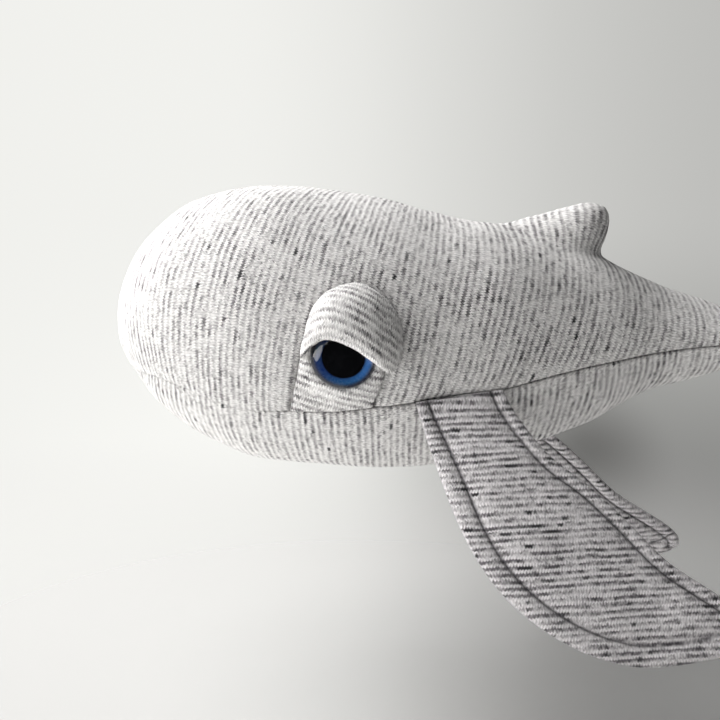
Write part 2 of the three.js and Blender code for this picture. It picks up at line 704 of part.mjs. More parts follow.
const bodyGroup = new THREE.Group();
addPiece(bodyGroup, 'body_stuffing', geometryOf(stuffing), FINISH.fill);
addPiece(bodyGroup, 'lobe_stuffing', geometryOf(lobeStuffing), FINISH.fill);
addPair(bodyGroup, 'back_panel_SIDE', geometryOf(leftBack), FINISH.back);
addPiece(bodyGroup, 'belly_panel', geometryOf(belly), FINISH.belly);
addPair(bodyGroup, 'eye_patch_SIDE', geometryOf(leftPatch), FINISH.patch);
addPair(bodyGroup, 'eyelid_cover_SIDE', geometryOf(lidCover), FINISH.lid);
addPair(bodyGroup, 'eyelid_wadding_SIDE', geometryOf(lidWadding), FINISH.fill);
const eyePieces = [
  ['eye_lens_SIDE', lensProfile, FINISH.lens],
  ['eye_iris_SIDE', irisProfile, FINISH.iris],
  ['eye_pupil_SIDE', pupilProfile, FINISH.pupil],
  ['eye_washer_SIDE', washerProfile, FINISH.washer],
];
for (const [name, profile, material] of eyePieces) {
  addPair(bodyGroup, name, geometryOf(solidOf(seatedOnEye(turned(profile)))), material);
}
whale.add(bodyGroup);

const finGroup = new THREE.Group();
addPair(finGroup, 'fin_outer_SIDE', fin.lower.applyMatrix4(finPlace), FINISH.fin);
addPair(finGroup, 'fin_inner_SIDE', fin.upper.applyMatrix4(finPlace), FINISH.fin);
addPair(finGroup, 'fin_batting_SIDE', fin.batting.applyMatrix4(finPlace), FINISH.fill);
whale.add(finGroup);

const flukeGroup = new THREE.Group();
flukeGroup.applyMatrix4(flukePlace);
addPiece(flukeGroup, 'fluke_upper', fluke.upper, FINISH.fin);
addPiece(flukeGroup, 'fluke_lower', fluke.lower, FINISH.fin);
addPiece(flukeGroup, 'fluke_batting', fluke.batting, FINISH.fill);
whale.add(flukeGroup);

export default whale;
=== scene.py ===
"""A stuffed whale sewn from striped jersey: its cloth, threads, eyes and studio.

Lengths are in millimetres in the classes below and become metres where a mesh is made. X runs from the
nose to the tail, Y to the whale's right and Z up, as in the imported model.
"""

from __future__ import annotations

import logging
import math
from collections.abc import Callable
from dataclasses import dataclass, field
from enum import Enum

import bpy
import numpy as np
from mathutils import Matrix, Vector

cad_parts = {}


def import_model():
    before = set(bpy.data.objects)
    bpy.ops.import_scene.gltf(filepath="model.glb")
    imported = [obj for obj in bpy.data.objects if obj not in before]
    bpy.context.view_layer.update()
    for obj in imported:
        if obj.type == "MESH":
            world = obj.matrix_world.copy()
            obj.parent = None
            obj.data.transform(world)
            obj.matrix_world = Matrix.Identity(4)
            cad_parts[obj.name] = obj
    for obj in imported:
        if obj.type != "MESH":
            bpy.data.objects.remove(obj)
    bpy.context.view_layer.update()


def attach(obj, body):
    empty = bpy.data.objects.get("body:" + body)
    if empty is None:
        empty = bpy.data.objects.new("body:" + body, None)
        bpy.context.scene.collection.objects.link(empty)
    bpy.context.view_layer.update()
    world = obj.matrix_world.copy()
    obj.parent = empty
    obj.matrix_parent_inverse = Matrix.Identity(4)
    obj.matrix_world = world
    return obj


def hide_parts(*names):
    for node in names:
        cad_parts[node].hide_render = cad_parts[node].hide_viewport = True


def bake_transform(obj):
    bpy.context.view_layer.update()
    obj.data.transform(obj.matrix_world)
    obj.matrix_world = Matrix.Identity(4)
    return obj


LOG = logging.getLogger("whale")
MM = 0.001
TINY = 1e-9
CLOTH_MAP = "cloth"
# the attribute that carries painted shade for the creases along seams
SEAM_SHADE = "seam_shade"
# how far along the jersey the right side's pieces are cut from the left's
OTHER_CUT = 371.0

Array = np.ndarray
Map = Callable[[Array], Array]


class Side(Enum):
    """The whale's two sides."""

    LEFT = "left"
    RIGHT = "right"


# ---- curves, noise and distances


def through(x: Array, y: Array, at: Array) -> Array:
    """A curve through a table with no overshoot: Hermite pieces with harmonic-mean slopes.

    Args:
        x: The table's places, rising.
        y: Its values.
        at: Places to read.

    Returns:
        The values there.
    """
    x, y, at = np.asarray(x, float), np.asarray(y, float), np.asarray(at, float)
    rise = np.diff(y) / np.diff(x)
    same = rise[:-1] * rise[1:] > 0
    inner = 2 * rise[:-1] * rise[1:] / np.where(same, rise[:-1] + rise[1:], 1)
    slope = np.concatenate([rise[:1], np.where(same, inner, 0), rise[-1:]])
    i = np.clip(np.searchsorted(x, at, side="right") - 1, 0, len(x) - 2)
    step = x[i + 1] - x[i]
    t = np.clip((at - x[i]) / step, 0, 1)
    bend = y[i] + (y[i + 1] - y[i]) * t * t * (3 - 2 * t)
    return bend + t * (1 - t) ** 2 * step * slope[i] - t * t * (1 - t) * step * slope[i + 1]


def eased(x: Array, y: Array, spread: float, samples: int = 1600) -> tuple[Array, Array]:
    """The curve through a table, averaged over a bell so that no row shows as a bend.

    Args:
        x: The table's places.
        y: Its values.
        spread: The bell's standard deviation, in the places' unit.
        samples: How finely the curve is kept.

    Returns:
        Places and values of the eased curve.
    """
    at = np.linspace(x[0], x[-1], samples)
    values = through(x, y, at)
    step = at[1] - at[0]
    reach = max(1, int(3 * spread / step))
    weights = np.exp(-0.5 * (np.arange(-reach, reach + 1) * step / spread) ** 2)
    before = 2 * values[0] - values[reach:0:-1]
    after = 2 * values[-1] - values[-2:-reach - 2:-1]
    return at, np.convolve(np.concatenate([before, values, after]), weights / weights.sum(), "valid")


def smooth(low: float, high: float, value: Array) -> Array:
    """0 below low, 1 above high and an S-curve between, for high below low too."""
    t = np.clip((value - low) / (high - low), 0, 1)
    return t * t * (3 - 2 * t)


def stretch(value: Array, rise: tuple[float, float], fall: tuple[float, float]) -> Array:
    """1 along a stretch of values, with S-curves up to it and down from it."""
    return smooth(*rise, value) * (1 - smooth(*fall, value))


def bell(distance: Array, width: float) -> Array:
    """1 at no distance, and e to the less square of distance over width."""
    return np.exp(-(distance / width) ** 2)


def fading(distance: Array, width: float) -> Array:
    """1 at no distance, and e to the less distance over width."""
    return np.exp(-distance / width)


def waves(points: Array, length: float, seed: int, count: int = 7) -> Array:
    """Soft lumps from -1 to 1: a mean of plane waves in fixed random directions.

    Args:
        points: Places in space, any shape with 3 last.
        length: The waves' length in the points' unit.
        seed: Fixes the directions.
        count: How many waves are added.

    Returns:
        One value for each point.
    """
    rng = np.random.default_rng(seed)
    way = rng.normal(size=(count, 3))
    way *= (2 * math.pi / length / np.linalg.norm(way, axis=1) * rng.uniform(0.6, 1.4, count))[:, None]
    phase = rng.uniform(0, 2 * math.pi, count)
    return np.sin(points @ way.T + phase).sum(-1) / math.sqrt(count) / 1.3


def wrinkles(along: Array, length: float, seed: int) -> Array:
    """An uneven ripple from -1 to 1 along a seam: two close waves, the longer with a wandering phase.

    Args:
        along: Distances along the seam.
        length: The longer wave's length.
        seed: Fixes the phases.

    Returns:
        One value for each distance.
    """
    rng = np.random.default_rng(seed)
    a, b, c = rng.uniform(0, 2 * math.pi, 3)
    wander = 1.4 * np.sin(along * 2 * math.pi / (length * 5.3) + a)
    return 0.6 * np.sin(along * 2 * math.pi / length + wander + b) + 0.4 * np.sin(along * 9.1 / length + c)


def rolled(distance: Array, radius: float) -> Array:
    """How far a sewn edge lies below the cloth: a quarter of a circle over the last radius."""
    short = np.clip(radius - distance, 0, radius)
    return radius - np.sqrt(np.clip(radius * radius - short * short, 0, None))


def nearest(points: Array, line: Array) -> Array:
    """The distance from each point to a line of straight pieces: the least over the pieces.

    Args:
        points: Places in the plane, any shape with 2 last.
        line: The line's corners in order.

    Returns:
        One distance for each point.
    """
    flat = points.reshape(-1, 1, 2)
    start, run = line[:-1], np.diff(line, axis=0)
    off = flat - start
    t = np.clip((off * run).sum(-1) / np.maximum((run * run).sum(-1), 1e-12), 0, 1)
    return np.linalg.norm(off - t[..., None] * run, axis=-1).min(1).reshape(points.shape[:-1])


def inside(points: Array, corners: Array) -> Array:
    """Whether points lie in a closed outline, by the count of edges that a ray from them crosses.

    Args:
        points: Places in the plane, any shape with 2 last.
        corners: The outline's corners in order.

    Returns:
        True for each point inside.
    """
    flat = points.reshape(-1, 1, 2)
    start, end = corners, np.roll(corners, -1, axis=0)
    over = (start[:, 1] > flat[..., 1]) != (end[:, 1] > flat[..., 1])
    rise = np.where(end[:, 1] == start[:, 1], 1, end[:, 1] - start[:, 1])
    cross = start[:, 0] + (flat[..., 1] - start[:, 1]) / rise * (end[:, 0] - start[:, 0])
    return ((over & (flat[..., 0] < cross)).sum(1) % 2 == 1).reshape(points.shape[:-1])


def depth_in(points: Array, corners: Array) -> Array:
    """The distance to a closed outline, above 0 inside it and below outside."""
    least = nearest(points, np.concatenate([corners, corners[:1]]))
    return np.where(inside(points, corners), least, -least)


def by_length(corners: Array, count: int, spread: float = 1e-6) -> Array:
    """Points evenly along the smooth curve through some corners.

    Args:
        corners: Points in order.
        count: How many points to give.
        spread: How far the corners are eased along the curve, in their unit.

    Returns:
        The points.
    """
    at = np.concatenate([[0], np.cumsum(np.linalg.norm(np.diff(corners, axis=0), axis=1))])
    fine = np.stack([eased(at, column, spread, 900)[1] for column in corners.T], -1)
    arc = gathered(fine, 0)
    return np.stack([np.interp(np.linspace(0, arc[-1], count), arc, column) for column in fine.T], -1)


def read_rows(want: Array, at: Array, values: Array) -> Array:
    """Linear reading in every row of a table at once: each row is shifted past the one before.

    Args:
        want: Places to read, a row for each row of the table.
        at: The table's places, rising in each row.
        values: The table's values.

    Returns:
        The values at the wanted places.
    """
    shift = (np.arange(len(at)) * (at.max() + 1.0))[:, None]
    read = np.interp((want + shift).ravel(), (at + shift).ravel(), values.ravel())
    return read.reshape(want.shape)


def gathered(points: Array, axis: int) -> Array:
    """Arc length along one axis of a grid of points, from 0.

    Args:
        points: The grid, its coordinates last.
        axis: Which way the lengths are added up.

    Returns:
        A length for each point.
    """
    steps = np.linalg.norm(np.diff(points, axis=axis), axis=-1)
    start = np.zeros_like(np.take(steps, [0], axis=axis))
    return np.concatenate([start, np.cumsum(steps, axis=axis)], axis=axis)


def grid_normals(points: Array) -> Array:
    """Unit normals of a grid: its second tangent crossed with its first.

    Args:
        points: The grid, its coordinates last.

    Returns:
        A normal for each point.
    """
    first, second = np.gradient(points, axis=0), np.gradient(points, axis=1)
    normal = np.cross(second, first)
    size = np.linalg.norm(normal, axis=-1, keepdims=True)
    return normal / np.where(size < TINY, 1, size)


def turned_by(degrees: float, x: Array, y: Array) -> Array:
    """Pairs of coordinates turned in their plane."""
    cos, sin = math.cos(math.radians(degrees)), math.sin(math.radians(degrees))
    return np.stack([x * cos - y * sin, y * cos + x * sin], -1)


# ---- meshes


@dataclass
class Sheet:
    """A grid of points with its cloth coordinates and seam shade, the painted shade of its creases, which becomes
    one mesh.

    A ring sheet's last column joins its first.
    """

    points: Array
    cloth: Array
    shade: Array
    ring: bool = False

    def on(self, side: Side) -> Sheet:
        """The left side's sheet on one side: itself, or its mirror image, facing outwards again.

        Args:
            side: Which side it is for.

        Returns:
            The sheet.
        """
        if side is Side.LEFT:
            return self
        flip = self.points[:, ::-1] * np.array([1.0, -1.0, 1.0])
        return Sheet(flip, self.cloth[:, ::-1] + np.array([OTHER_CUT, 0.0]), self.shade[:, ::-1], self.ring)

    def outward(self) -> Sheet:
        """The ring sheet with its faces outwards, by the sign of the volume that its quads enclose.

        Returns:
            The sheet, turned where it has to be.
        """
        p = np.concatenate([self.points, self.points[:, :1]], 1)
        a, b, c, d = p[:-1, :-1], p[:-1, 1:], p[1:, 1:], p[1:, :-1]
        if (np.cross(b, c) * a).sum() + (np.cross(c, d) * a).sum() > 0:
            return self
        return Sheet(self.points[:, ::-1], self.cloth[:, ::-1], self.shade[:, ::-1], self.ring)

    def runs(self) -> tuple[float, float]:
        """The longest arc down the grid and across it, in metres."""
        down, across = (float(gathered(self.points, axis).max()) * MM for axis in (0, 1))
        return down, across

    def area(self) -> float:
        """The grid's area in square metres, a cross product for each quad."""
        down, across = np.diff(self.points[:, :-1], axis=0), np.diff(self.points[:-1], axis=1)
        return float(np.linalg.norm(np.cross(down, across), axis=-1).sum()) * MM ** 2


def mesh_object(name: str, sheets: list[Sheet]) -> bpy.types.Object:
    """One object from sheets of quads, each with its cloth coordinates in metres and its painted seam shade.

    Args:
        name: The piece's name.
        sheets: Grids in millimetres.

    Returns:
        The object, at the origin.
    """
    faces, base = [], 0
    for sheet in sheets:
        rows, columns = sheet.points.shape[:2]
        last = columns if sheet.ring else columns - 1
        i, j = np.meshgrid(np.arange(rows - 1), np.arange(last), indexing="ij")
        k = (j + 1) % columns
        quad = np.stack([i * columns + j, i * columns + k, (i + 1) * columns + k, (i + 1) * columns + j], -1)
        faces.append(quad.reshape(-1, 4) + base)
        base += rows * columns
    points = np.concatenate([sheet.points.reshape(-1, 3) for sheet in sheets]) * MM
    cloth = np.concatenate([sheet.cloth.reshape(-1, 2) for sheet in sheets])
    shades = np.concatenate([sheet.shade.reshape(-1) for sheet in sheets])
    quads = np.concatenate(faces)
    mesh = bpy.data.meshes.new(name)
    mesh.vertices.add(len(points))
    mesh.vertices.foreach_set("co", points.astype(np.float32).ravel())
    mesh.loops.add(quads.size)
    mesh.loops.foreach_set("vertex_index", quads.astype(np.int32).ravel())
    mesh.polygons.add(len(quads))
    mesh.polygons.foreach_set("loop_start", np.arange(0, quads.size, 4, dtype=np.int32))
    corners = cloth[quads.ravel()] * MM
    mesh.uv_layers.new(name=CLOTH_MAP).data.foreach_set("uv", corners.astype(np.float32).ravel())
    shade = mesh.attributes.new(SEAM_SHADE, "FLOAT", "POINT")
    shade.data.foreach_set("value", shades.astype(np.float32))
    mesh.update(calc_edges=True)
    mesh.validate()
    mesh.shade_smooth()
    made = bpy.data.objects.new(name, mesh)
    bpy.context.scene.collection.objects.link(made)
    return made


# ---- the whale's form


@dataclass
class WhaleForm:
    """The stuffed body: elliptic sections from nose to tail, and a lobe that leans back out of them."""

    length: float = 307.0
    nose_reach: float = 115.0
    head_height: float = 133.7
    head_width: float = 131.0
    flat_depth: float = 0.5
    # how softly the underside runs into the flat, in square millimetres
    flat_softness: float = 0.3
    lobe_length: float = 45.5
    lobe_height: float = 52.0
    lobe_width: float = 30.0
    lobe_lean: float = 40.7
    lobe_fillet: float = 5.0
    # the eye's share of the length and of the height
    eye_along: float = 0.371
    eye_up: float = 0.435
    # distance behind the nose, top, bottom, half width
    sections: tuple = (
        (0.000, 0.5115, 0.5115, 0.000), (0.002, 0.572, 0.454, 0.130), (0.008, 0.651, 0.402, 0.290),
        (0.020, 0.718, 0.361, 0.420), (0.036, 0.782, 0.308, 0.542), (0.055, 0.834, 0.250, 0.649),
        (0.080, 0.886, 0.191, 0.754), (0.107, 0.930, 0.142, 0.837), (0.140, 0.961, 0.097, 0.898),
        (0.200, 0.995, 0.042, 0.966), (0.257, 1.000, 0.016, 0.992), (0.340, 0.979, 0.001, 0.996),
        (0.420, 0.945, 0.000, 0.966), (0.505, 0.895, 0.013, 0.892), (0.590, 0.856, 0.059, 0.786),
        (0.665, 0.816, 0.109, 0.668), (0.730, 0.758, 0.173, 0.559), (0.801, 0.676, 0.265, 0.443),
        (0.883, 0.604, 0.330, 0.366), (1.000, 0.520, 0.426, 0.328),
    )
    # distance behind the nose, height
    seam: tuple = (
        (0.000, 0.352), (0.068, 0.348), (0.114, 0.324), (0.141, 0.303), (0.167, 0.277), (0.193, 0.257),
        (0.219, 0.243), (0.245, 0.237), (0.300, 0.241), (0.363, 0.247), (0.405, 0.259), (0.474, 0.275),
        (0.537, 0.297), (0.593, 0.316), (0.658, 0.354), (0.730, 0.390), (0.824, 0.426), (0.928, 0.453),
        (1.000, 0.469),
    )
    lobe_foot: tuple = (0.635, 0.692)
    # distance up the lobe, half height, half width
    lobe: tuple = (
        (0.00, 1.00, 0.93), (0.26, 0.87, 1.00), (0.53, 0.65, 0.93), (0.74, 0.46, 0.80),
        (0.88, 0.31, 0.60), (0.97, 0.15, 0.32), (1.00, 0.02, 0.03),
    )
    lobe_tip: float = 0.02
    # how far the tables of sections, seam and lobe are eased, in the unit of their places
    ease: tuple = (0.014, 0.012, 0.02)
    # the tail's end: where it begins to close, over how much, how much lower and narrower it gets
    tail_end: tuple = (0.968, 0.032, 0.90, 0.03)
    # the room of the lobe: from and to in X, to either side, upwards from; the longest push and its steps
    lobe_room: tuple = (20, 150, 30, 60)
    lobe_push: tuple = (50, 101)
    # the lumps of hand-packed filling: height, length, seed
    lumpy: tuple = ((0.5, 66, 3), (0.22, 27, 5), (0.07, 12, 8))

    def __post_init__(self) -> None:
        """Works the tables out once as eased curves, the body's over the root of the distance."""
        table, seam, lobe = (np.array(rows) for rows in (self.sections, self.seam, self.lobe))
        root = np.sqrt(table[:, 0])
        self._top, self._bottom, self._width = (eased(root, table[:, k], self.ease[0]) for k in (1, 2, 3))
        self._seam = eased(seam[:, 0], seam[:, 1], self.ease[1])
        self._lobe_half, self._lobe_side = (eased(lobe[:, 0], lobe[:, k], self.ease[2]) for k in (1, 2))
        self._lobe_half[1][-1] = self._lobe_side[1][-1] = self.lobe_tip
        lean = math.radians(self.lobe_lean)
        self._lean_cos, self._lean_sin = math.cos(lean), math.sin(lean)

    def height(self, share: Array | float) -> Array | float:
        """A height from its share of the head's height."""
        return share * self.head_height - self.flat_depth

    def along(self, share: Array | float) -> Array | float:
        """A place in X from its share of the body's length."""
        return share * self.length - self.nose_reach

    def share(self, x: Array | float) -> Array:
        """The share of the body's length at a place in X."""
        return np.clip((x + self.nose_reach) / self.length, 0, 1)

    def eye_place(self) -> tuple[Array, Array]:
        """Where the eye's middle is, in X and Z."""
        return self.along(np.array(self.eye_along)), self.height(np.array(self.eye_up))

    def section(self, share: Array, closed: bool = True) -> tuple[Array, Array, Array]:
        """The section at a share of the length.

        Args:
            share: Shares of the length.
            closed: Whether the tail's end is drawn in to the slit that holds the fluke.

        Returns:
            The middle's height, the half height and the half width.
        """
        root = np.sqrt(np.clip(share, 0, 1))
        top = self.height(np.interp(root, *self._top))
        bottom = self.height(np.interp(root, *self._bottom))
        width = np.interp(root, *self._width) * self.head_width / 2
        half = (top - bottom) / 2
        if closed:
            begin, over, lower, narrower = self.tail_end
            end = np.clip((share - begin) / over, 0, 1)
            half = half * np.sqrt(1 - lower * end * end)
            width = width * (1 - narrower * end * end)
        return (top + bottom) / 2, half, width

    def seam_height(self, share: Array) -> Array:
        """The height of the seam of mouth and belly."""
        return self.height(np.interp(share, *self._seam))

    def seam_turn(self, share: Array) -> Array:
        """The turn from the top round to the seam, half a circle where the seam lies below the section."""
        middle, half, _ = self.section(share)
        return np.arccos(np.clip((self.seam_height(share) - middle) / half, -1, 1))

    def side(self, x: Array, z: Array) -> Array:
        """The half width of the body at a place on its side: its ellipse's, at that height."""
        middle, half, width = self.section(self.share(x))
        rise = np.clip((z - middle) / half, -1, 1)
        return width * np.sqrt(1 - rise * rise)

    def left(self, x: Array, z: Array) -> Array:
        """Points on the left side."""
        return np.stack([x, -self.side(x, z), z], -1)

    def facing(self, x: Array, z: Array, probe: float = 0.6) -> Array:
        """Which way the left side faces, from its slopes a little to either side.

        Args:
            x: Places along the body.
            z: Their heights.
            probe: How far to either side the slopes are taken.

        Returns:
            Unit vectors out of the skin.
        """
        slope_x = (self.side(x + probe, z) - self.side(x - probe, z)) / (2 * probe)
        slope_z = (self.side(x, z + probe) - self.side(x, z - probe)) / (2 * probe)
        way = np.stack([-slope_x, -np.ones_like(slope_x), -slope_z], -1)
        return way / np.linalg.norm(way, axis=-1, keepdims=True)

    def round(self, share: Array, turn: Array) -> Array:
        """Points of the plain body, an ellipse at each share, held above the flat.

        Args:
            share: Shares of the length.
            turn: Turns from the top, which rise to the left.

        Returns:
            The points.
        """
        middle, half, width = self.section(share)
        x = np.broadcast_to(self.along(share), np.broadcast(share, turn).shape)
        z = middle + half * np.cos(turn)
        z = 0.5 * (z + np.sqrt(z * z + self.flat_softness))
        return np.stack([x, -width * np.sin(turn), z], -1)

    def body_field(self, points: Array) -> Array:
        """Roughly how far points are outside the body's ellipses: their reach less 1, times the half size."""
        middle, half, width = self.section(self.share(points[..., 0]), closed=False)
        reach = np.hypot(points[..., 1] / width, (points[..., 2] - middle) / half)
        return (reach - 1) * np.minimum(width, half)

    def lobe_field(self, points: Array) -> Array:
        """Roughly how far points are outside the lobe's ellipses, which stand along its lean.

        Args:
            points: Places in space.

        Returns:
            Distances, below 0 inside.
        """
        off = points - np.array([self.along(self.lobe_foot[0]), 0, self.height(self.lobe_foot[1])])
        along = off[..., 0] * self._lean_cos + off[..., 2] * self._lean_sin
        across = off[..., 2] * self._lean_cos - off[..., 0] * self._lean_sin
        share = np.clip(along / self.lobe_length, 0, 1)
        half = np.interp(share, *self._lobe_half) * self.lobe_height / 2
        width = np.interp(share, *self._lobe_side) * self.lobe_width / 2
        reach = np.hypot(across / half, off[..., 1] / width)
        ring = (reach - 1) * np.minimum(half, width)
        return np.maximum(ring, np.maximum(along - self.lobe_length, -along))

    def with_lobe(self, points: Array) -> Array:
        """Body points pushed out along the lobe's lean to the outermost place on body and lobe together.

        The two fields join with a fillet: less the square of their nearness over four fillets.

        Args:
            points: Points of the plain body.

        Returns:
            The points, moved where the lobe stands over them.
        """
        low_x, high_x, aside, above = self.lobe_room
        near = (points[..., 0] > low_x) & (points[..., 0] < high_x) & (np.abs(points[..., 1]) < aside)
        near &= points[..., 2] > above
        start = points[near]
        way = np.array([self._lean_cos, 0, self._lean_sin])
        step = np.linspace(0, *self.lobe_push)
        line = start[:, None] + step[None, :, None] * way
        body, lobe = self.body_field(line), self.lobe_field(line)
        joined = np.clip(self.lobe_fillet - np.abs(body - lobe), 0, None)
        value = np.minimum(body, lobe) - joined ** 2 / (4 * self.lobe_fillet)
        within = value < -1e-6
        last = np.clip(within.shape[1] - 1 - np.argmax(within[:, ::-1], axis=1), 0, len(step) - 2)
        rows = np.arange(len(start))
        low, high = value[rows, last], value[rows, last + 1]
        push = step[last] + (step[1] - step[0]) * low / (low - high - 1e-12)
        out = points.copy()
        out[near] = start + np.where(within.any(1), push, 0)[:, None] * way
        return out

    def lumps(self, points: Array) -> Array:
        """The unevenness of hand-packed filling, the same on both sides."""
        even = points * np.array([1, 0, 1]) + np.abs(points) * np.array([0, 1, 0])
        return sum(size * waves(even, length, seed) for size, length, seed in self.lumpy)

    def stations(self, spacing: float, start: float, fine: tuple = (70, 128, 0.55), fade: float = 8) -> Array:
        """Shares of the length that lie evenly along the body's skin, closer over the lobe.

        Args:
            spacing: Their distance on the skin.
            start: The first share.
            fine: From where to where in X they are closer, and by how much.
            fade: How far before and after that they begin to close up.

        Returns:
            The shares.
        """
        dense = np.linspace(math.sqrt(start), 1, 6000) ** 2
        _, half, width = self.section(dense)
        line = np.stack([self.along(dense), np.sqrt(half * width)], -1)
        steps = np.linalg.norm(np.diff(line, axis=0), axis=1)
        x = self.along(dense[1:])
        closer = 1 - (1 - fine[2]) * smooth(fine[0] - fade, fine[0], x) * smooth(fine[1] + fade, fine[1], x)
        count = np.concatenate([[0], np.cumsum(steps / (spacing * closer))])
        return np.interp(np.linspace(0, count[-1], int(count[-1]) + 2), count, dense)

    def filling(self, spacing: float = 2.6, sides: int = 96) -> Sheet:
        """The filling: the plain form with its lobe, drawn in from the cloth by a little air.

        Args:
            spacing: Distance of the stations.
            sides: Points round each.

        Returns:
            A ring sheet.
        """
        share = self.stations(spacing, 1e-7)
        share = share[share < 0.985]
        turn = np.linspace(0, 2 * math.pi, sides + 1)[:-1]
        points = self.with_lobe(self.round(share[:, None], turn + 0 * share[:, None]))
        closed = np.concatenate([points[:, -1:], points, points[:, :1]], 1)
        normal = grid_normals(closed)[:, 1:-1]
        inset = np.minimum(3.4, 0.42 * self.section(share)[1])[:, None, None]
        moved = points - normal * inset + 0.3 * waves(points, 11, 91)[..., None] * normal
        cloth = np.stack([gathered(moved, 1), gathered(moved, 0)], -1)
        return Sheet(moved, cloth, np.zeros(moved.shape[:2]), True).outward()


@dataclass(frozen=True)
class EyeSeat:
    """Where the left eye sits: its own axes, with the third out of the skin."""

    origin: Array
    axes: Array

    @staticmethod
    def on(form: WhaleForm) -> EyeSeat:
        """The seat at the eye's place, turned to face the way that the skin does.

        Args:
            form: The whale's form.

        Returns:
            The seat.
        """
        x, z = form.eye_place()
        out = form.facing(x, z)
        side = np.array([1.0, 0.0, 0.0]) - out * out[0]
        side /= np.linalg.norm(side)
        return EyeSeat(form.left(x, z), np.stack([side, np.cross(out, side), out]))

    def local(self, points: Array) -> Array:
        """Points in the seat's own axes."""
        return (points - self.origin) @ self.axes.T

    def placed(self, points: Array) -> Array:
        """Points from the seat's own axes in the whale's."""
        return points @ self.axes + self.origin


# ---- the skin


@dataclass
class Banded:
    """A symmetric least-squares matrix over a grid, in which a row of points meets only its two neighbours."""

    own: Array
    link: Array

    def __post_init__(self) -> None:
        """Eliminates row after row and keeps the inverse of each row's block."""
        self._inverse = [np.linalg.inv(self.own[0])]
        for own, link in zip(self.own[1:], self.link):
            self._inverse.append(np.linalg.inv(own - link.T @ self._inverse[-1] @ link))

    def solve(self, wanted: Array) -> Array:
        """The unknowns of each row: one sweep down the rows and one back.

        Args:
            wanted: The sums that each row's unknowns should give.

        Returns:
            The unknowns.
        """
        down = [wanted[0]]
        for value, link, inverse in zip(wanted[1:], self.link, self._inverse):
            down.append(value - link.T @ (inverse @ down[-1]))
        back = [self._inverse[-1] @ down[-1]]
        for value, link, inverse in zip(down[-2::-1], self.link[::-1], self._inverse[-2::-1]):
            back.append(inverse @ (value - link @ back[-1]))
        return np.array(back[::-1])


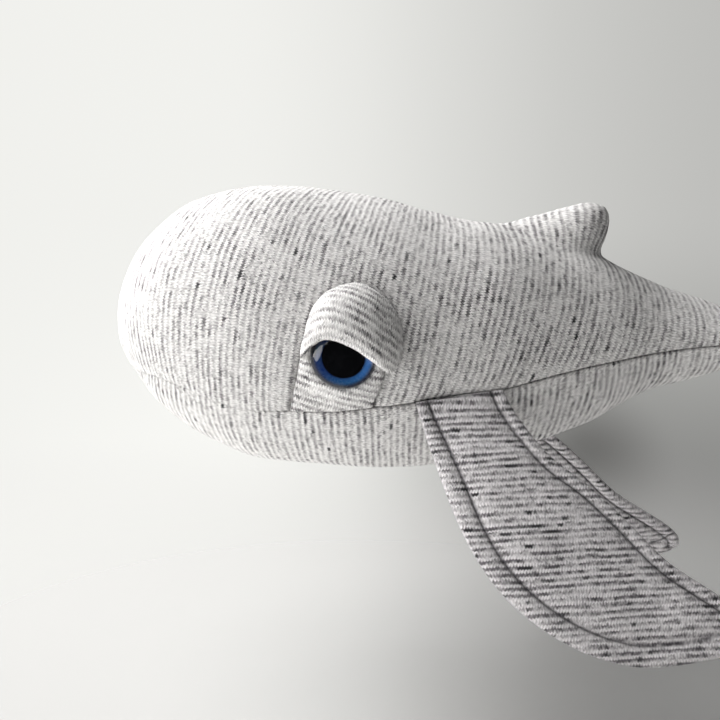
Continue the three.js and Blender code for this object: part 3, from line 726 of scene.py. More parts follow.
@dataclass
class Pattern:
    """A panel's cut: its grid laid flat with little stretch, as the jersey was before it was sewn.

    Each triangle is turned on its own, then all are joined by least squares, and so on for some rounds. An
    edge counts by the cotangent of the angle that faces it.
    """

    points: Array
    rounds: int = 60
    # the least and the most that an edge counts
    counts: tuple = (0.02, 8)
    flat: Array = field(init=False)

    def __post_init__(self) -> None:
        """Lays the grid flat."""
        rows, columns = self.points.shape[:2]
        i, j = np.meshgrid(np.arange(rows - 1), np.arange(columns - 1), indexing="ij")
        a = (i * columns + j).ravel()
        b, c, d = a + columns, a + columns + 1, a + 1
        corner = np.concatenate([np.stack([a, b, c], 1), np.stack([a, c, d], 1)])
        point = self.points.reshape(-1, 3)
        first, second = point[corner[:, 1]] - point[corner[:, 0]], point[corner[:, 2]] - point[corner[:, 0]]
        base = np.linalg.norm(first, axis=1) + TINY
        along = (first * second).sum(1) / base
        above = np.linalg.norm(np.cross(first, second), axis=1) / base + TINY
        zero = np.zeros_like(base)
        shape = np.stack([np.stack([zero, zero], 1), np.stack([base, zero], 1), np.stack([along, above], 1)], 1)
        own, link = np.zeros((rows, columns, columns)), np.zeros((rows - 1, columns, columns))
        edges = []
        for p, q, r in ((0, 1, 2), (1, 2, 0), (2, 0, 1)):
            u, v = shape[:, p] - shape[:, r], shape[:, q] - shape[:, r]
            area = np.abs(u[:, 0] * v[:, 1] - u[:, 1] * v[:, 0]) + 1e-6
            weight = np.clip((u * v).sum(1) / area, *self.counts)
            one, other = corner[:, p], corner[:, q]
            edges.append((one, other, weight, shape[:, q] - shape[:, p]))
            for end in (one, other):
                np.add.at(own, (end // columns, end % columns, end % columns), weight)
            low, high = np.minimum(one, other), np.maximum(one, other)
            level = low // columns == high // columns
            for s, t in ((low, high), (high, low)):
                np.add.at(own, (s[level] // columns, s[level] % columns, t[level] % columns), -weight[level])
            low, high, weight = low[~level], high[~level], weight[~level]
            np.add.at(link, (low // columns, low % columns, high % columns), -weight)
        # the first point is held, so that the sums have one answer
        own[0, 0, 0] += 1.0
        matrix = Banded(own, link)
        middle = columns // 2
        start, across = gathered(self.points, 0), gathered(self.points, 1)
        length = np.repeat(start[:, middle:middle + 1], columns, 1)
        flat = np.stack([length, across - across[:, middle:middle + 1]], -1).reshape(-1, 2)
        for _ in range(self.rounds):
            dot, cross = zero.copy(), zero.copy()
            for one, other, weight, edge in edges:
                laid = flat[other] - flat[one]
                dot += weight * (edge * laid).sum(1)
                cross += weight * (edge[:, 0] * laid[:, 1] - edge[:, 1] * laid[:, 0])
            angle = np.arctan2(cross, dot)
            cos, sin = np.cos(angle), np.sin(angle)
            pull = np.zeros((rows * columns, 2))
            for one, other, weight, edge in edges:
                turned = np.stack([cos * edge[:, 0] - sin * edge[:, 1], sin * edge[:, 0] + cos * edge[:, 1]], 1)
                np.add.at(pull, other, turned * weight[:, None])
                np.add.at(pull, one, -turned * weight[:, None])
            flat = matrix.solve(pull.reshape(rows, columns, 2)).reshape(-1, 2)
        self.flat = flat.reshape(rows, columns, 2)

    @staticmethod
    def weights(at: Array, count: int) -> tuple[Array, Array]:
        """The four neighbours of places on a line and how much each counts, by Catmull and Rom's cubics.

        Args:
            at: Places between the neighbours, from 0.
            count: How many neighbours the line has.

        Returns:
            Their numbers and their shares.
        """
        at = np.clip(at, 0, count - 1)
        low = np.clip(np.floor(at).astype(int), 0, count - 2)
        t = at - low
        cubic = np.stack([
            -0.5 * t + t * t - 0.5 * t ** 3, 1 - 2.5 * t * t + 1.5 * t ** 3,
            0.5 * t + 2 * t * t - 1.5 * t ** 3, -0.5 * t * t + 0.5 * t ** 3,
        ], -1)
        return np.clip(np.stack([low - 1, low, low + 1, low + 2], -1), 0, count - 1), cubic

    def read(self, row: Array, column: Array, grain: float) -> Array:
        """The cloth coordinates at places of the grid, turned by the grain and read smoothly.

        Args:
            row: Places between the rows, from 0.
            column: Places between the columns, from 0.
            grain: How far the cut lies turned on the jersey, in degrees.

        Returns:
            Along and across the stripes, in millimetres.
        """
        rows, columns = self.flat.shape[:2]
        r, row_share = self.weights(row, rows)
        c, column_share = self.weights(column, columns)
        cells = self.flat[r[..., :, None], c[..., None, :]]
        value = (cells * (row_share[..., :, None] * column_share[..., None, :])[..., None]).sum((-2, -3))
        return turned_by(grain, value[..., 1], value[..., 0])


@dataclass
class BodySkin:
    """The sewn cover of the body: its panels and eye patches, each cloth with rolled, puckered edges."""

    form: WhaleForm
    seat: EyeSeat
    lid_outline: Array
    roll: float = 1.5
    # distances of the outer rows from a sewn edge, and the panel's width below which they close up
    edge_rows: tuple = (0, 0.25, 0.6, 1.05, 1.6, 2.4, 3.5)
    slim: float = 24.0
    # spacing of the stations and count of rows, with the start of the back's two grids
    back_grid: tuple = (1.35, 92, 1e-7)
    belly_grid: tuple = (1.5, 96)
    coarse_grid: tuple = (5.2, 29, 4e-4)
    coarse_edge: float = 4.0
    coarse_fine: tuple = (72, 126, 0.5)
    # stations round the place where the mouth's seam begins, from it, and how far off the others stay
    seam_stations: tuple = (-0.0030, -0.0012, -0.0004, 1e-5, 0.0004, 0.0012, 0.0026, 0.0046)
    seam_room: float = 0.002
    # how far the back's cut lies turned on the jersey, and how the stripes are drawn along the body
    back_grain: float = 8.0
    back_ease: tuple = (
        (0.00, 0.74, 0.31, 0.02), (6.98, -1.36, 0.22, -0.09), (-2.10, -1.42, -0.03, -0.32),
        (0.67, 0.14, 0.19, 0.08), (0.61, 0.65, -0.13, 0.03), (-0.34, -0.41, -0.54, -0.21),
    )
    belly_ease: tuple = (
        (0.00, -0.57, -0.42), (2.58, 0.90, 0.69), (-0.91, 0.28, 0.55),
        (0.60, -0.28, -0.58), (0.11, 0.26, 0.09), (-0.14, -0.42, -0.35),
    )
    # pairs of places in X over which the upper lip, the chin and the fin's root begin and end
    lip: tuple = ((-104, -92), (-30, 0))
    chin: tuple = ((-108, -96), (-38, -8))
    root: tuple = ((25, 31), (63, 69))
    # how far the lip stands out, the chin in, and how wide each is; how far the root is drawn in
    lip_swell: tuple = (0.7, 11)
    chin_tuck: tuple = (1.3, 10)
    root_tuck: tuple = (0.7, 2.6)
    # the patch's front and rear edges as height, place along; the lower ends lie on the seam
    patch_front: tuple = ((30.0, -26.2), (40.0, -23.6), (48.0, -21.5), (52.5, -20.6), (57.5, -19.4),
                          (60.5, -18.2), (64.0, -16.4), (68.5, -13.6))
    patch_rear: tuple = ((30.0, 10.0), (36.4, 11.0), (42.7, 13.7), (48.8, 15.5), (55.0, 15.8),
                         (60.0, 14.6), (68.5, 11.0))
    # the patch's rows and columns, its top below the lid, its rows' run, and its stripes' slant
    patch_grid: tuple = (60, 54)
    patch_top: float = 68.0
    patch_run: float = 34.0
    patch_slant: float = 0.30
    # how far a panel without a pattern of its own is cut along the jersey
    other_cut: float = 300.0

    def crowded(self, rows: tuple, total: Array) -> Array:
        """The outer rows' distances from a sewn edge, closer where the panel is slim."""
        return np.array(rows) * np.minimum(1, total / self.slim)

    def seam_start(self) -> float:
        """The share where the seam of the mouth meets the front seam."""
        share = np.linspace(0.005, 0.1, 4000)
        middle, half, _ = self.form.section(share)
        return float(share[np.argmax(self.form.seam_height(share) > middle - half)])

    def shares(self, spacing: float, start: float) -> Array:
        """Stations along a panel, closer where the mouth's seam begins.

        Args:
            spacing: Their distance.
            start: The first.

        Returns:
            Shares of the length.
        """
        share = self.form.stations(spacing, start)
        close = self.seam_start() + np.array(self.seam_stations)
        share = share[(share < close[0] - self.seam_room) | (share > close[-1] + self.seam_room)]
        share = np.sort(np.concatenate([share, close]))
        return share[share >= start]

    def laid(self, share: Array, low: Array, high: Array, rows: int, edge: tuple,
             fine: int = 150) -> tuple[Array, Array, Array]:
        """A panel's grid: the plain form between two turns, its rows placed by arc length.

        Args:
            share: The stations.
            low: Where each starts, as a turn.
            high: Where each ends.
            rows: How many rows the grid has.
            edge: Distances of the outer rows from a sewn edge.
            fine: How many turns the arc length is taken over.

        Returns:
            The points, the distance of each to the first edge and to the last.
        """
        def shape(turn: Array) -> Array:
            """The form at turns from each station."""
            return self.form.with_lobe(self.form.round(share[:, None], turn))

        turn = low[:, None] + (high - low)[:, None] * np.linspace(0, 1, fine)
        for _ in range(4):
            arc = gathered(shape(turn), 1)
            even = arc[:, -1:] * np.linspace(0, 1, fine)
            turn = read_rows(0.6 * even + 0.4 * arc, arc, turn)
        arc = gathered(shape(turn), 1)
        total = arc[:, -1:]
        close = self.crowded(edge, total)
        inner = close[:, -1:] + (total - 2 * close[:, -1:]) * np.linspace(0, 1, rows - 2 * len(edge) + 2)
        place = np.concatenate([close[:, :-1], inner, total - close[:, -2::-1]], 1)
        return shape(read_rows(place, arc, turn)), place, total - place

    @staticmethod
    def eased_cloth(share: Array, fraction: Array, table: tuple) -> Array:
        """How far the stripes are drawn along the body: a table's sum of cosines along it and across it.

        Args:
            share: Shares of the length.
            fraction: Shares of the way across the panel.
            table: A factor for each count of half waves along and across.

        Returns:
            Distances.
        """
        ease = np.array(table)
        along = np.cos(math.pi * share[..., None] * np.arange(ease.shape[0]))
        across = np.cos(math.pi * fraction[..., None] * np.arange(ease.shape[1]))
        return np.einsum("...i,ij,...j->...", along, ease, across)

    def puckered(self, edge: Array, along: Array, seed: int) -> Array:
        """How a cloth's edge lies: rolled into the seam, drawn in round it, with small and broad puckers.

        Args:
            edge: Distances from the seam.
            along: Distances along it.
            seed: Fixes the puckers.

        Returns:
            Heights over the plain form.
        """
        gather = fading(edge, 3.4) * wrinkles(along, 4.4, seed)
        broad = fading(edge, 9.0) * wrinkles(along, 17.0, seed + 1)
        return 0.16 * gather + 0.16 * broad - rolled(edge, self.roll) - 0.3 * bell(edge, 4.5)

    def socket(self, points: Array) -> Array:
        """How far out of the seat's plane the patch is drawn: down under the eye's rim and up round it.

        Args:
            points: Points of the plain patch.

        Returns:
            Distances along the seat's third axis.
        """
        at = self.seat.local(points)
        radius = np.hypot(at[..., 0], at[..., 1])
        wanted = -0.2 + 1.1 * smooth(13.2, 14.8, radius) - 0.05 * np.clip(radius - 15, 0, None)
        return (1 - smooth(15.2, 23.0, radius)) * (wanted - at[..., 2])

    def patch_corners(self) -> Array:
        """The outline of the patch seen from the side."""
        front, rear = np.array(self.patch_front), np.array(self.patch_rear)
        return np.concatenate([front[:, ::-1], rear[::-1, ::-1]])

    @staticmethod
    def shaded(edge: Array) -> Array:
        """How strongly painted shade darkens the cloth in the crease beside a seam."""
        return 0.66 * bell(edge, 0.7)

    def root_drawn(self, x: Array, edge: Array) -> Array:
        """How far the fin's root draws the seam in."""
        return self.root_tuck[0] * stretch(x, *self.root) * bell(edge, self.root_tuck[1])

    def coarse_place(self, fraction: Array, total: Array) -> Array:
        """The row of the coarse grid at a share of its arc, whose second rows lie near the edges.

        Args:
            fraction: Shares of the way across the panel.
            total: How wide it is there.

        Returns:
            Places between the rows, from 0.
        """
        last = self.coarse_grid[1] - 1
        close = self.crowded(self.coarse_edge, total) / np.maximum(total, TINY)
        inner = 1 + (fraction - close) / (1 - 2 * close) * (last - 2)
        return np.where(fraction < close, fraction / close,
                        np.where(fraction > 1 - close, last - (1 - fraction) / close, inner))

    def back_cut(self, share: Array, top: Array, bottom: Array) -> Array:
        """The back's cloth coordinates, read from the flat pattern of a coarse grid.

        Args:
            share: The fine grid's stations.
            top: Distances from the top seam.
            bottom: Distances from the seam of mouth and belly.

        Returns:
            Along and across the stripes.
        """
        spacing, rows, start = self.coarse_grid
        coarse = self.form.stations(spacing, start, self.coarse_fine)
        points, _, _ = self.laid(coarse, np.zeros_like(coarse), self.form.seam_turn(coarse), rows,
                                 (0.0, self.coarse_edge))
        row = np.interp(share, coarse, np.arange(len(coarse)))[:, None] + 0 * top
        fraction = top / np.maximum(top + bottom, TINY)
        cloth = Pattern(points).read(row, self.coarse_place(fraction, top + bottom), self.back_grain)
        cloth[..., 1] += self.eased_cloth(share[:, None] + 0 * top, fraction, self.back_ease)
        return cloth

    def back_panel(self) -> Sheet:
        """The left back panel, from the top seam down to the seam of mouth and belly.

        Returns:
            Its outer face.
        """
        spacing, rows, first = self.back_grid
        share = self.shares(spacing, first)
        points, top, bottom = self.laid(share, np.zeros_like(share), self.form.seam_turn(share), rows,
                                        self.edge_rows)
        along = gathered(points, 0)
        lift = self.form.lumps(points) + self.puckered(top, along[:, :1] + 0 * top, 11)
        lift += self.puckered(bottom, along[:, -1:] + 0 * top, 12)
        x, flat = points[..., 0], points[..., ::2]
        lip = stretch(x, *self.lip) * bell(bottom, self.lip_swell[1])
        lift += self.lip_swell[0] * lip * smooth(0.6, 2.5, bottom)
        # the cloth is drawn in under the patch and under the eyelid
        patch, lid = depth_in(flat, self.patch_corners()), depth_in(flat, self.lid_outline)
        lift -= 2.3 * smooth(-0.9, 1.0, patch) + 0.35 * bell(patch + 1.5, 2.2)
        lift -= 0.9 * smooth(-2.6, 0.8, lid) + 0.25 * bell(lid + 4, 4)
        lift -= self.root_drawn(x, bottom)
        # painted shade in the creases along the seams and round the patch
        seam = np.maximum(self.shaded(np.minimum(top, bottom)), 0.8 * bell(patch + 0.2, 0.8))
        return Sheet(points + grid_normals(points) * lift[..., None], self.back_cut(share, top, bottom), seam)

    def belly_panel(self) -> Sheet:
        """The belly, from the seam on the left under the body to the seam on the right.

        Returns:
            Its outer face.
        """
        spacing, rows = self.belly_grid
        share = self.shares(spacing, self.seam_start() + 1e-5)
        low = self.form.seam_turn(share)
        points, left, right = self.laid(share, low, 2 * math.pi - low, rows, self.edge_rows)
        edge = np.minimum(left, right)
        along = gathered(points, 0)
        lift = self.form.lumps(points) + self.puckered(edge, along[:, :1] + 0 * left, 21)
        x = points[..., 0]
        lift -= self.chin_tuck[0] * stretch(x, *self.chin) * bell(edge, self.chin_tuck[1])
        lift -= self.root_drawn(x, edge)
        # the flat stays flat
        lift *= smooth(-0.2, 3.0, points[..., 2] + 0.5 * edge / 10)
        run = along.mean(1, keepdims=True) + 0 * left
        run += self.eased_cloth(share[:, None] + 0 * left, left / np.maximum(left + right, TINY), self.belly_ease)
        cloth = np.stack([(left - right) / 2, run], -1) + self.other_cut
        return Sheet(points + grid_normals(points) * lift[..., None], cloth, self.shaded(edge))

    def eye_patch(self) -> Sheet:
        """The patch sewn in under the left eye, drawn out round the eye's rim.

        Returns:
            Its outer face.
        """
        form, bunch = self.form, np.array(self.edge_rows)
        front, rear = np.array(self.patch_front), np.array(self.patch_rear)
        rows, columns = self.patch_grid
        width = rear[0, 1] - front[0, 1]
        inner = np.linspace(bunch[-1], width - bunch[-1], columns - 2 * len(bunch) + 2)
        across = (np.concatenate([bunch[:-1], inner, width - bunch[-2::-1]]) / width)[None, :]
        upper = np.linspace(bunch[-1], self.patch_run, rows - len(bunch) + 1)
        rise = (np.concatenate([bunch[:-1], upper]) / self.patch_run)[:, None]
        x = front[0, 1] + width * across + 0 * rise
        for _ in range(3):
            foot = form.seam_height(form.share(x))
            z = foot + (self.patch_top - foot) * rise
            start, end = through(front[:, 0], front[:, 1], z), through(rear[:, 0], rear[:, 1], z)
            x = start + (end - start) * across
        points = form.left(x, z)
        normal = grid_normals(points)
        to_front, to_foot = gathered(points, 1), gathered(points, 0)
        side = np.minimum(to_front, to_front[:, -1:] - to_front)
        edge = np.minimum(side, to_foot)
        lift = 0.35 + form.lumps(points) + self.puckered(to_foot, to_front, 12)
        lift += 0.14 * fading(side, 3) * wrinkles(to_foot, 4.0, 31) - 1.15 * rolled(side, 1.3)
        drawn = self.socket(points)[..., None] * self.seat.axes[2] * smooth(0, 3.0, edge)[..., None]
        cloth = np.stack([x - self.patch_slant * z, z + self.patch_slant * x], -1) + self.other_cut
        return Sheet(points + normal * lift[..., None] + drawn, cloth, 0.9 * self.shaded(edge))


# ---- eyes and eyelids


@dataclass(frozen=True)
class EyeParts:
    """The safety eye's parts as profiles of radius and height, turned round the seat's axis."""

    seat: EyeSeat
    radius: float = 14.0
    dome: float = 9.8
    bore: float = 13.3
    flange: float = 13.0
    pupil: float = 7.9
    post: float = 3.0
    # heights over the seat: the eye's underside, the flange's top, the dome's ceiling, the pupil's top
    underside: float = 0.3
    rim: float = 1.8
    ceiling: float = 3.6
    pupil_top: float = 3.3
    post_foot: float = -9.0
    iris_heights: tuple = (2.1, 2.9)
    washer_radii: tuple = (3.3, 8.5)
    washer_heights: tuple = (-4.5, -2.9)
    # clearances: of a profile from the axis, and of the iris from the pupil
    axis_gap: float = 0.01
    iris_gap: float = 0.25

    def turned(self, profile: list[tuple[float, float]], soften: float = 0.12, sides: int = 96) -> Sheet:
        """A profile turned round the axis, each corner cut into a small round.

        Args:
            profile: Radius and height pairs from the axis or round a loop.
            soften: How far from a corner its round begins.
            sides: Segments round the axis.

        Returns:
            A sheet whose rows follow the profile.
        """
        corners = np.asarray(profile, float)
        before, after = np.diff(corners[:-1], axis=0), np.diff(corners[1:], axis=0)
        size_b, size_a = (np.linalg.norm(v, axis=1, keepdims=True) for v in (before, after))
        cut_b, cut_a = np.minimum(soften, size_b * 0.4), np.minimum(soften, size_a * 0.4)
        middle = corners[1:-1]
        first, last = middle - before / size_b * cut_b, middle + after / size_a * cut_a
        bend = 0.25 * first + 0.5 * middle + 0.25 * last
        inner = np.stack([first, bend, last], 1).reshape(-1, 2)
        line = np.concatenate([corners[:1], inner, corners[-1:]])
        turn = np.arange(sides) * 2 * math.pi / sides
        local = np.stack([line[:, :1] * np.cos(turn), line[:, :1] * np.sin(turn), line[:, 1:] + 0 * turn], -1)
        points = self.seat.placed(local)
        return Sheet(points, local[..., :2], np.zeros(points.shape[:2]), True).outward()

    def hoop(self, radii: tuple[float, float], heights: tuple[float, float], soften: float,
             sides: int = 96) -> Sheet:
        """A flat ring between two radii and two heights."""
        (inner, outer), (low, high) = radii, heights
        return self.turned([(inner, low), (outer, low), (outer, high), (inner, high), (inner, low)], soften, sides)

    def lens(self) -> Sheet:
        """The clear dome, hollowed below for the pupil and iris: a quarter of an ellipse over its rim.

        Returns:
            A ring sheet.
        """
        rise = self.dome - self.rim
        dome = [(self.radius * math.cos(t), self.rim + rise * math.sin(t))
                for t in np.linspace(0.0, math.pi / 2, 30)[1:-1]]
        return self.turned([(self.axis_gap, self.ceiling), (self.bore, self.ceiling), (self.bore, self.underside),
                            (self.radius, self.underside), (self.radius, self.rim), *dome,
                            (self.axis_gap, self.dome)], 0.25)

    def pupil_part(self) -> Sheet:
        """The black pupil with its flange and the post behind the cloth."""
        return self.turned([(self.axis_gap, self.post_foot), (self.post, self.post_foot),
                            (self.post, self.underside), (self.flange, self.underside), (self.flange, self.rim),
                            (self.pupil, self.rim), (self.pupil, self.pupil_top), (self.axis_gap, self.pupil_top)])

    def iris(self) -> Sheet:
        """The blue ring round the pupil."""
        return self.hoop((self.pupil + self.iris_gap, self.flange), self.iris_heights, 0.05)

    def washer(self) -> Sheet:
        """The washer that holds the post behind the cloth."""
        return self.hoop(self.washer_radii, self.washer_heights, 0.3, 64)


@dataclass
class Eyelid:
    """The puffed cushion over the left eye: a closed loft whose free rim rests on the lens."""

    form: WhaleForm
    eye: EyeParts
    width: float = 42.8
    height: float = 39.2
    puff: float = 14.8
    foot: float = 4.0
    start: float = -0.425
    lens_gap: float = 0.35
    # distance along, upper edge, lower edge, puff
    rows: tuple = (
        (0.000, 0.005, -0.036, 0.095), (0.030, 0.178, 0.003, 0.340), (0.120, 0.480, 0.105, 0.660),
        (0.300, 0.705, 0.193, 0.925), (0.521, 0.773, 0.110, 1.000), (0.720, 0.722, -0.030, 0.935),
        (0.880, 0.560, -0.185, 0.700), (0.968, 0.355, -0.060, 0.370), (1.000, 0.217, 0.125, 0.095),
    )
    # distance along, height of the line that the rim's stripes keep to behind the rim's end
    rim_runs_on: tuple = ((0.0, -0.185), (0.88, -0.185), (0.968, -0.270), (1.0, -0.300))
    # height, puff or foot below 0; then which row is the free rim and which the top seam
    section: tuple = (
        (0.10, -1.0), (0.06, 0.30), (0.00, 0.60), (0.02, 0.82), (0.09, 0.95), (0.30, 1.00), (0.64, 0.83),
        (0.90, 0.48), (1.00, 0.02), (0.97, -1.0),
    )
    rim_row: int = 2
    top_row: int = 8
    # how much height and puff count in the section's length
    section_sizes: tuple = (30, 15)
    # stations along and points round, and how far the two tables are eased
    grid: tuple = (92, 78)
    ease: tuple = (0.07, 0.9)
    # the folded hem: from behind the rim to over it, how proud it is, and the line of its seam
    hem: tuple = ((-4.5, -2.5), (3.6, 2.0))
    hem_proud: float = 0.55
    hem_seam: float = 3.4
    # where on the jersey the lid is cut
    cut: tuple = (500, 273.25)

    def edges(self, along: Array) -> tuple[Array, Array, Array, Array]:
        """Place in X, height of the upper and lower edge, and puff.

        Args:
            along: Distances along the lid, from 0 to 1.

        Returns:
            The four of them.
        """
        table = np.array(self.rows)
        place = np.arccos(1 - 2 * table[:, 0])
        at = np.arccos(1 - 2 * np.clip(along, 0, 1))
        above, below, puff = (np.interp(at, *eased(place, table[:, k], self.ease[0])) for k in (1, 2, 3))
        eye_x, eye_z = self.form.eye_place()
        x = eye_x + (self.start + along) * self.width
        return x, eye_z + above * self.height, eye_z + below * self.height, puff * self.puff

    def outline(self) -> Array:
        """The lid's outline from the side."""
        x, high, low, _ = self.edges(0.5 - 0.5 * np.cos(np.linspace(0, math.pi, 40)))
        return np.concatenate([np.stack([x, high], -1), np.stack([x, low], -1)[-2:0:-1]])

    def clear_of_lens(self, points: Array) -> Array:
        """Points inside the lens's dome moved straight out of it, in the dome's own proportions.

        Args:
            points: Points of the lid.

        Returns:
            The points, a gap off the dome at least.
        """
        at = self.eye.seat.local(points)
        wide, high = self.eye.radius + self.lens_gap, self.eye.dome + self.lens_gap
        reach = np.hypot(np.hypot(at[..., 0], at[..., 1]) / wide, np.clip(at[..., 2], 0, None) / high)
        scale = np.where((reach < 1) & (at[..., 2] > self.eye.underside), 1 / np.maximum(reach, 0.3), 1.0)
        return self.eye.seat.placed(at * scale[..., None])

    def sheet(self) -> Sheet:
        """The lid's cloth: stripes follow the free rim, which is folded under and a little proud.

        Returns:
            A ring sheet.
        """
        along = 0.5 - 0.5 * np.cos(np.linspace(0.0, math.pi, self.grid[0]))
        x, high, low, puff = self.edges(along)
        section = np.array(self.section)
        steps = np.diff(section, axis=0) * np.array(self.section_sizes)
        chord = np.concatenate([[0], np.cumsum(np.hypot(*steps.T))])
        fine = np.linspace(0, chord[-1], self.grid[1])
        share, out = (np.interp(fine, *eased(chord, section[:, k], self.ease[1])) for k in (0, 1))
        z = ((high + low) / 2)[:, None] + (2 * share - 1) * ((high - low) / 2)[:, None]
        rise = np.where(out < 0, out * self.foot, out * puff[:, None])
        flat_x = x[:, None] + 0 * z
        points = self.clear_of_lens(np.stack([flat_x, -self.form.side(flat_x, z) - rise, z], -1))
        arc = gathered(points, 1)
        rim, top = (np.argmin(np.abs(fine - chord[row])) for row in (self.rim_row, self.top_row))
        from_rim, from_top = arc - arc[:, rim:rim + 1], np.abs(arc[:, top:top + 1] - arc)
        run = gathered(points, 0)[:, rim:rim + 1] + 0 * arc
        # the hem is proud and its seam a groove; the top seam is gathered
        hem = smooth(*self.hem[0], from_rim) * smooth(*self.hem[1], from_rim)
        bump = self.hem_proud * hem - 0.12 * bell(from_rim - self.hem_seam, 0.8)
        bump += 0.14 * fading(from_top, 4) * wrinkles(run, 4.6, 41) + 0.07 * hem * wrinkles(run, 3.1, 42)
        bump += 0.35 * waves(points, 24, 43) + 0.12 * waves(points, 9, 44)
        ends = smooth(0.0, 0.06, along) * smooth(1.0, 0.95, along)
        lift = bump * ends[:, None] * smooth(-0.3, 1.2, rise)
        moved = self.clear_of_lens(points - grid_normals(points) * lift[..., None])
        line = self.form.eye_place()[1] + np.interp(along, *np.array(self.rim_runs_on).T) * self.height
        past = (low - line) * smooth(0.86, 0.90, along)
        cloth = np.stack([run + self.cut[0], from_rim + 1.2 * past[:, None] + self.cut[1]], -1)
        # painted shade in the creases of the top seam and of the hem's seam
        shade = np.maximum(0.8 * bell(from_top, 1.2), 0.12 * bell(from_rim - self.hem_seam, 0.5))
        return Sheet(moved, cloth, shade, True).outward()


# ---- fins and fluke


@dataclass
class Quilt:
    """Two cloths sewn round a batting, with a stitched channel inside the edge, in a plane."""

    front: Array
    rear: Array
    channels: tuple
    full: float
    roll: float = 2.3
    seed: int = 51
    columns: int = 46
    # half the thickness at the stitches, beside them and at the least, and how far the field rises over
    crease: float = 0.42
    beside: float = 0.55
    least: float = 0.12
    rise: float = 15.0
    # place down the plane, share of the front channel's width
    taper: tuple = ((0.0, 1.0), (40.0, 1.0))
    # the outer columns, in widths of the channel from the edge, and the room that they leave the others
    edge_columns: tuple = (0, 0.06, 0.16, 0.3, 0.45, 0.6, 0.75, 0.88, 0.96, 1.0, 1.04, 1.14, 1.32, 1.6, 1.95)
    inner_room: float = 8
    # puckers beside the front and the rear stitches: height, fading, length
    puckers: tuple = ((0.12, 2.4, 4.6), (0.26, 3.2, 4.2))
    # painted shade: how dark the creases at the lines of stitches and along the edge are, and how wide
    stitch_shade: tuple = (1.5, 0.62)
    edge_shade: tuple = (0.35, 0.5)
    # where on the jersey the two faces are cut
    cuts: tuple = (700, 811)

    def widths(self, points: Array) -> tuple[Array, Array]:
        """The front and the rear channel's width at places of the plane."""
        front = self.channels[0] * np.interp(points[..., 1], *np.array(self.taper).T)
        return front, np.full(front.shape, float(self.channels[1]))

    def thickness(self, points: Array) -> Array:
        """Half the thickness at places of the plane: a tube in each channel, a crease and a puffed field.

        Args:
            points: Places in the plane.

        Returns:
            Half the thickness there.
        """
        sides = []
        for line, channel in zip((self.front, self.rear), self.widths(points)):
            d = nearest(points, line)
            ring = np.sqrt(np.clip(1 - (2 * d / channel - 1) ** 2, 0, 1))
            t = np.clip((d - channel) / self.rise, 0, 1)
            puffed = self.beside + (self.full - self.beside) * np.sqrt(1 - (1 - t) ** 3)
            sides.append(np.where(d < channel, self.crease + (self.roll - self.crease) * ring, puffed))
        return np.minimum(*sides)

    def channel_gaps(self, points: Array) -> list[Array]:
        """How far places lie from the front and from the rear line of stitches."""
        lines = zip((self.front, self.rear), self.widths(points))
        return [np.abs(nearest(points, line) - channel) for line, channel in lines]

    def lines(self) -> Array:
        """The grid in the plane: rows from the front edge to the rear edge, close to edges and channels.

        Returns:
            The grid's points.
        """
        across = self.rear - self.front
        span = np.linalg.norm(across, axis=-1)[:, None]
        close = np.array(self.edge_columns)
        steps = []
        for line, width in zip((self.front, self.rear), self.widths(self.front)):
            run = np.gradient(line, axis=0)
            slant = np.abs(run[:, 0] * across[:, 1] - run[:, 1] * across[:, 0])
            slant = slant / np.linalg.norm(run, axis=1) / np.maximum(span[:, 0], TINY)
            steps.append(close * (width / np.clip(slant, 0.4, 1.0))[:, None])
        squeeze = np.minimum(1, span / (steps[0][:, -1:] + steps[1][:, -1:] + self.inner_room))
        a, b = steps[0] * squeeze, span - steps[1][:, ::-1] * squeeze
        count = self.columns - 2 * len(close)
        inner = a[:, -1:] + (b[:, :1] - a[:, -1:]) * (np.arange(1, count + 1) / (count + 1))
        place = np.concatenate([a, inner, b], 1) / np.maximum(span, TINY)
        return self.front[:, None] + across[:, None] * place[..., None]

    def sheet(self, place: Map, stripe_turn: float, limit: Map) -> Sheet:
        """The whole quilt as one closed ring sheet.

        Args:
            place: Turns plane coordinates and a height into the whale's axes.
            stripe_turn: How far the stripes lie turned from the root line, in degrees.
            limit: The most that half the thickness may be, from places in the plane.

        Returns:
            The sheet, its two faces meeting in a rounded rim.
        """
        flat = self.lines()
        half, gaps = self.thickness(flat), self.channel_gaps(flat)
        gap = np.minimum(*gaps)
        run = gathered(flat, 0)
        ends = (run[:, :1] + 0 * gap, run[:, -1:] + 0 * gap)
        pucker = sum(height * fading(off, width) * wrinkles(end, length, self.seed + which)
                     for which, ((height, width, length), off, end) in enumerate(zip(self.puckers, gaps, ends)))
        deep = np.concatenate([flat, 0 * gap[..., None]], -1)
        swell = 1 + 0.10 * waves(deep, 21, self.seed + 2) + pucker
        half = half * swell + 0.16 * waves(deep, 8.5, self.seed + 3) * smooth(0.5, 2.5, half)
        half = np.maximum(np.minimum(half, limit(flat)), self.least)
        above, below = (np.concatenate([flat, face * half[..., None]], -1) for face in (1, -1))
        cloth = turned_by(stripe_turn, flat[..., 0], flat[..., 1])
        edge = np.minimum(nearest(flat, self.front), nearest(flat, self.rear))
        # painted shade in the creases at the stitches and along the rolled edge
        shade = np.maximum(self.stitch_shade[0] * bell(gap, self.stitch_shade[1]),
                           self.edge_shade[0] * bell(edge, self.edge_shade[1]))
        return Sheet(place(np.concatenate([above, below[:, ::-1]], 1)),
                     np.concatenate([cloth + self.cuts[0], (cloth + self.cuts[1])[:, ::-1]], 1),
                     np.concatenate([shade, shade[:, ::-1]], 1), True).outward()

